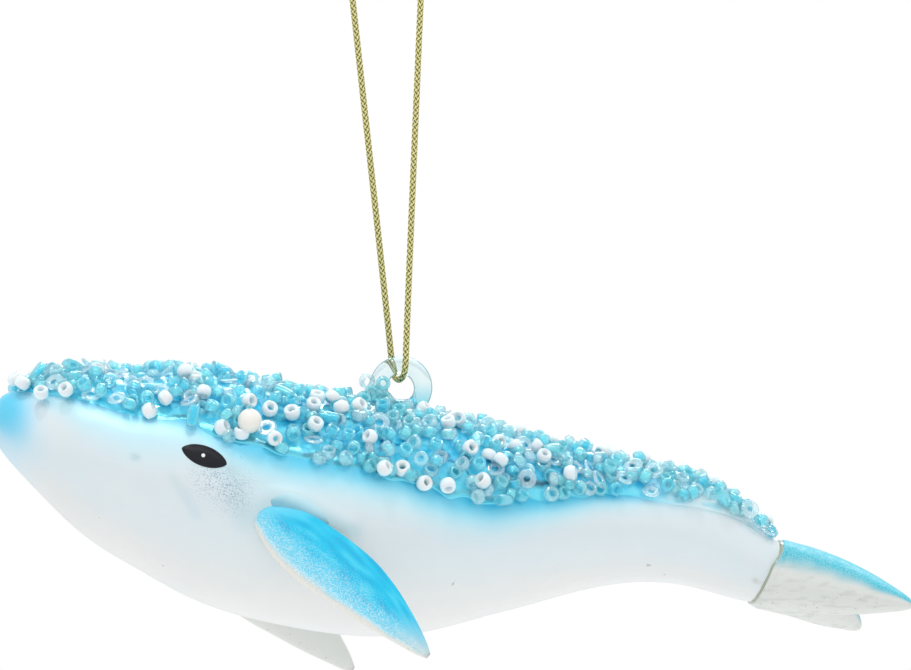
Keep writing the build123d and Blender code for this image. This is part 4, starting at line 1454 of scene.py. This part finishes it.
class WHALE_OT_beads(bpy.types.Operator):
    """Scatter the glass beads over the glued back"""
    bl_idname = "whale.beads"
    bl_label = "Beads"

    def execute(self, context):
        chosen = settings().beads
        tree = bead_tree()
        sockets = {item.name: item.identifier for item in tree.interface.items_tree if item.in_out == "INPUT"}
        solids = {name: bead_places(name, max(size[0], size[1])) for name, size in BEAD_KINDS.items()}
        taken = [place for places in solids.values() for place, _ in places]
        fillers = fill_beads(taken, chosen.filler_count, chosen.seed)
        aqua, deep, clear = chosen.aqua_colour, chosen.deep_colour, chosen.clear_colour
        # Painted edges: line and grey are painted shade for the outlines, rim and pale painted reflection for the rims
        line, grey = shade(24, 150, 208), shade(208, 214, 222)
        rim, pale = shade(178, 248, 255), shade(230, 252, 255)
        finishes = {
            "white_seed_beads": bead_material("white_bead", chosen.white_colour, shade(228, 234, 240), pale, grey,
                                              transmission=0.0, alpha=1.0, metal=0.0),
            "aqua_seed_beads": bead_material("aqua_bead", aqua, deep, rim, line, transmission=0.55, alpha=0.66),
            "clear_seed_beads": bead_material("clear_bead", clear, aqua, pale, line, transmission=0.55, alpha=0.56),
            "clear_sequins": bead_material("sequin", clear, shade(216, 240, 252), pale, line,
                                           transmission=0.55, alpha=0.50, film=300.0),
            "aqua_bugle_beads": bead_material("bugle", aqua, deep, rim, line, transmission=0.55, alpha=0.66),
        }
        for number, (name, (outer, length, hole, slot)) in enumerate(BEAD_KINDS.items()):
            places = solids[name] + fillers[name]
            points = bpy.data.meshes.new(name + "_points")
            points.from_pydata([tuple(place) for place, _ in places], [], [])
            turn = points.attributes.new("turn", "FLOAT_VECTOR", "POINT")
            dice = random.Random(chosen.seed + number)
            angles = []
            for _, way in places:
                spin = Matrix.Rotation(dice.uniform(0, 2 * math.pi), 4, "Z")
                angles += (Vector(way).to_track_quat("Z", "Y").to_matrix().to_4x4() @ spin).to_euler()[:]
            turn.data.foreach_set("vector", angles)
            piece = bpy.data.objects.new("glass_" + name, points)
            context.scene.collection.objects.link(piece)
            layer = piece.modifiers.new("beads", "NODES")
            layer.node_group = tree
            for label, value in (("Outer Diameter", outer * MM), ("Length", length * MM), ("Hole Diameter", hole * MM),
                                 ("Size Spread", 0.05), ("Steps Round", chosen.round_steps),
                                 ("Steps Across", chosen.ring_steps), ("Seed", chosen.seed + number),
                                 ("Material", finishes[name])):
                layer[sockets[label]] = value
            mesh = finished_mesh(piece)
            piece.modifiers.clear()
            piece.data = mesh
            if not mesh.polygons:
                raise RuntimeError(f"{name} has no beads")
            print(name, len(solids[name]), len(fillers[name]), "faces", len(mesh.polygons))
            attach(piece, "whale")
            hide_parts(name)
        self.pearls()
        return {"FINISHED"}

    def pearls(self):
        """Cream pearls with a hole, one ring of points at a time from hole to hole."""
        chosen = settings().beads
        radius, hole, around = PEARL_RADIUS, PEARL_HOLE_RADIUS, 32
        start = math.asin(hole / radius)
        bends = np.linspace(start, math.pi - start, 22)
        profile = [(radius * math.sin(bend), radius * math.cos(bend)) for bend in bends]
        profile += [(hole * 0.9, -radius * 0.6), (hole * 0.9, radius * 0.6)]
        shapes = []
        for centre, way in bead_places("pearl_beads", PEARL_RADIUS * 2):
            turn = Vector(way).to_track_quat("Z", "Y").to_matrix()
            points = []
            for wide, high in profile:
                for step in range(around):
                    angle = 2 * math.pi * step / around
                    spot = turn @ Vector((wide * math.cos(angle), wide * math.sin(angle), high))
                    points.append(centre + np.array(spot) * MM)
            points = np.array(points)
            shapes.append((points, turned_out(points - centre, ring_faces(len(profile), around))))
        pearls = piece_from("cream_pearls", *joined(shapes))
        pearls.data.materials.append(plain_material(
            "pearl_shell", tuple(chosen.pearl_colour), 0.22, 800.0, 0.03 * MM, Coat_Weight=0.5, Coat_Roughness=0.1,
            Sheen_Weight=0.2))
        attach(pearls, "whale")
        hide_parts("pearl_beads")


# Glue coat: rows and columns, its ends along the body, then in millimetres its even height, what its
# lumps add and how deep it goes into the glass
COAT_GRID = (260, 110)
COAT_ENDS = (0.031, 0.984)
COAT_HEIGHT = 0.22
COAT_LUMPS = 0.42
COAT_DEPTH = 0.3


class WHALE_OT_glue(bpy.types.Operator):
    """Pour the glue coat that holds the beads, tinted by the lacquer below it"""
    bl_idname = "whale.glue"
    bl_label = "Glue coat"

    def execute(self, context):
        rows, columns = COAT_GRID
        shares = np.linspace(*COAT_ENDS, rows)
        across = np.linspace(-1, 1, columns)
        points = self.layers(shares, across)
        coat = piece_from("glue_coat", points, turned_out(points, self.slab_faces(rows, columns)))
        self.mark_coat(coat, shares[:, None], np.abs(across)[None, :] + np.zeros((rows, 1)))
        coat.data.materials.append(self.glue())
        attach(coat, "whale")
        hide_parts("bead_glue")
        return {"FINISHED"}

    def layers(self, shares, across):
        """Points of the coat's lumpy top, then those of its underside in the glass."""
        top = np.zeros((len(shares), len(across), 3))
        under = np.zeros(top.shape)
        for row, share in enumerate(shares):
            ends = min((share - shares[0]) / 0.02, (shares[-1] - share) / 0.02, 1.0)
            for column, part in enumerate(across):
                side = 1 if part > 0 else -1
                wave = 1 + 0.06 * noise.noise(Vector((share * 34, side * 3.0, 0.5)))
                foot, normal = skin().at(share, float(zone_edge(share)) * wave * part)
                rim = (1 - abs(part) ** 6) * math.sqrt(max(0.0, ends))
                lump = 0.5 + 0.5 * noise.noise(Vector(foot) * 420)
                height = (COAT_HEIGHT + COAT_LUMPS * max(0.0, lump) * (1 - part * part * 0.6)) * rim + 0.01
                top[row, column] = foot + normal * height * MM
                under[row, column] = foot - normal * COAT_DEPTH * MM
        return np.concatenate([top.reshape(-1, 3), under.reshape(-1, 3)])

    def slab_faces(self, rows, columns):
        """Faces of the top and the underside, and of the wall round their border."""
        shift = rows * columns
        faces = []
        for row in range(rows - 1):
            for column in range(columns - 1):
                a = row * columns + column
                faces.append((a, a + 1, a + 1 + columns, a + columns))
                faces.append((a + shift, a + columns + shift, a + 1 + columns + shift, a + 1 + shift))
        border = list(range(columns))
        border += [row * columns + columns - 1 for row in range(1, rows)]
        border += [(rows - 1) * columns + column for column in range(columns - 2, -1, -1)]
        border += [row * columns for row in range(rows - 2, 0, -1)]
        for first, second in zip(border, border[1:] + border[:1]):
            faces.append((second, first, first + shift, second + shift))
        return faces

    def mark_coat(self, coat, shares, off_top):
        """Stores where the coat is deep, pale at the tail or dark, with painted shade in a gap between beads, and
        where a thin dark line runs.
        """
        marks = {
            "inside": smooth_step(0.98, 0.72, off_top),
            "pale": smooth_step(0.80, 0.90, shares) * smooth_step(0.30, 0.62, off_top),
            "ridge": smooth_step(0.86, 0.92, shares) * smooth_step(0.40, 0.12, off_top),
            "line": (smooth_step(0.16, 0.22, shares) * smooth_step(0.70, 0.60, shares)
                     * np.exp(-((off_top - 0.955) / 0.018) ** 2)),
            "gap": (smooth_step(0.55, 0.59, shares) * smooth_step(0.74, 0.70, shares)
                    * np.exp(-((off_top - 0.80) / 0.04) ** 2)),
        }
        for name, share in marks.items():
            mark(coat, np.concatenate([share.ravel(), share.ravel()]), name)

    def glue(self):
        """Wet glue in patches of two blues, darker in its depth: cyan patches of painted light from the beads, dark
        spots of painted shade.
        """
        material, tree, shader = new_material("clear_glue")
        deep = ramp(tree, link_attribute(tree, "inside", "Fac"), 0.0, 1.0, 0.15, 1.0)
        # painted light: the cyan patches stand for light that the beads cast into the glue; painted shade: the dark
        # spots between them
        patches = product(tree, deep, ramp(tree, object_noise(tree, 420, 4.0), 0.36, 0.62))
        dark = product(tree, deep, ramp(tree, object_noise(tree, 520, 2.0), 0.58, 0.66, 0.0, 0.75))
        pen = product(tree, link_attribute(tree, "line", "Fac"),
                      ramp(tree, object_noise(tree, 300, 2.0), 0.40, 0.55, 0.3, 0.8))
        # painted shade in a gap between the beads
        gap = product(tree, link_attribute(tree, "gap", "Fac"),
                      ramp(tree, object_noise(tree, 260, 3.0), 0.42, 0.50, 0.0, 0.95))
        colour = tuple(settings().beads.glue_colour)
        for other, factor in ((shade(26, 192, 238), patches), (shade(6, 122, 168), dark),
                              (shade(214, 236, 242), link_attribute(tree, "pale", "Fac")),
                              (shade(40, 96, 112), pen), (shade(8, 78, 104), gap),
                              (shade(12, 122, 164), link_attribute(tree, "ridge", "Fac"))):
            colour = colour_mix(tree, colour, other, factor)
        tree.links.new(colour, shader.inputs["Base Color"])
        uneven_roughness(tree, shader, 900, 0.03, 0.12)
        constants(shader, Metallic=0.35, IOR=1.45, Coat_Weight=1.0, Coat_Roughness=0.02)
        bump(tree, shader, object_noise(tree, 700, 3.0), 0.25, 0.3 * MM)
        return material


class WhaleOrnamentSettings(bpy.types.PropertyGroup):
    """Everything about the ornament that a user may change."""
    stage: PointerProperty(type=WhaleStageSettings)
    body: PointerProperty(type=WhaleBodySettings)
    fins: PointerProperty(type=WhaleFinSettings)
    beads: PointerProperty(type=WhaleBeadSettings)
    cord: PointerProperty(type=WhaleCordSettings)


STEPS = ["stage", "cord", "body", "ring", "flippers", "fluke", "eyes", "glue", "beads"]


class WHALE_PT_panel(bpy.types.Panel):
    """Lists the steps that dress the whale"""
    bl_idname = "WHALE_PT_panel"
    bl_label = "Glass whale"
    bl_space_type = "VIEW_3D"
    bl_region_type = "UI"
    bl_category = "Whale"

    def draw(self, context):
        for step in STEPS:
            self.layout.operator("whale." + step)


CLASSES = [
    WhaleStageSettings, WhaleBodySettings, WhaleFinSettings, WhaleBeadSettings, WhaleCordSettings,
    WhaleOrnamentSettings, WHALE_OT_stage, WHALE_OT_cord, WHALE_OT_body, WHALE_OT_ring, WHALE_OT_flippers,
    WHALE_OT_fluke, WHALE_OT_eyes, WHALE_OT_glue, WHALE_OT_beads, WHALE_PT_panel,
]


def register():
    for cls in CLASSES:
        bpy.utils.register_class(cls)
    bpy.types.Scene.whale_ornament = PointerProperty(type=WhaleOrnamentSettings)


def unregister():
    del bpy.types.Scene.whale_ornament
    for cls in reversed(CLASSES):
        bpy.utils.unregister_class(cls)


def main():
    register()
    for step in STEPS:
        getattr(bpy.ops.whale, step)()


if __name__ == "__main__":
    main()
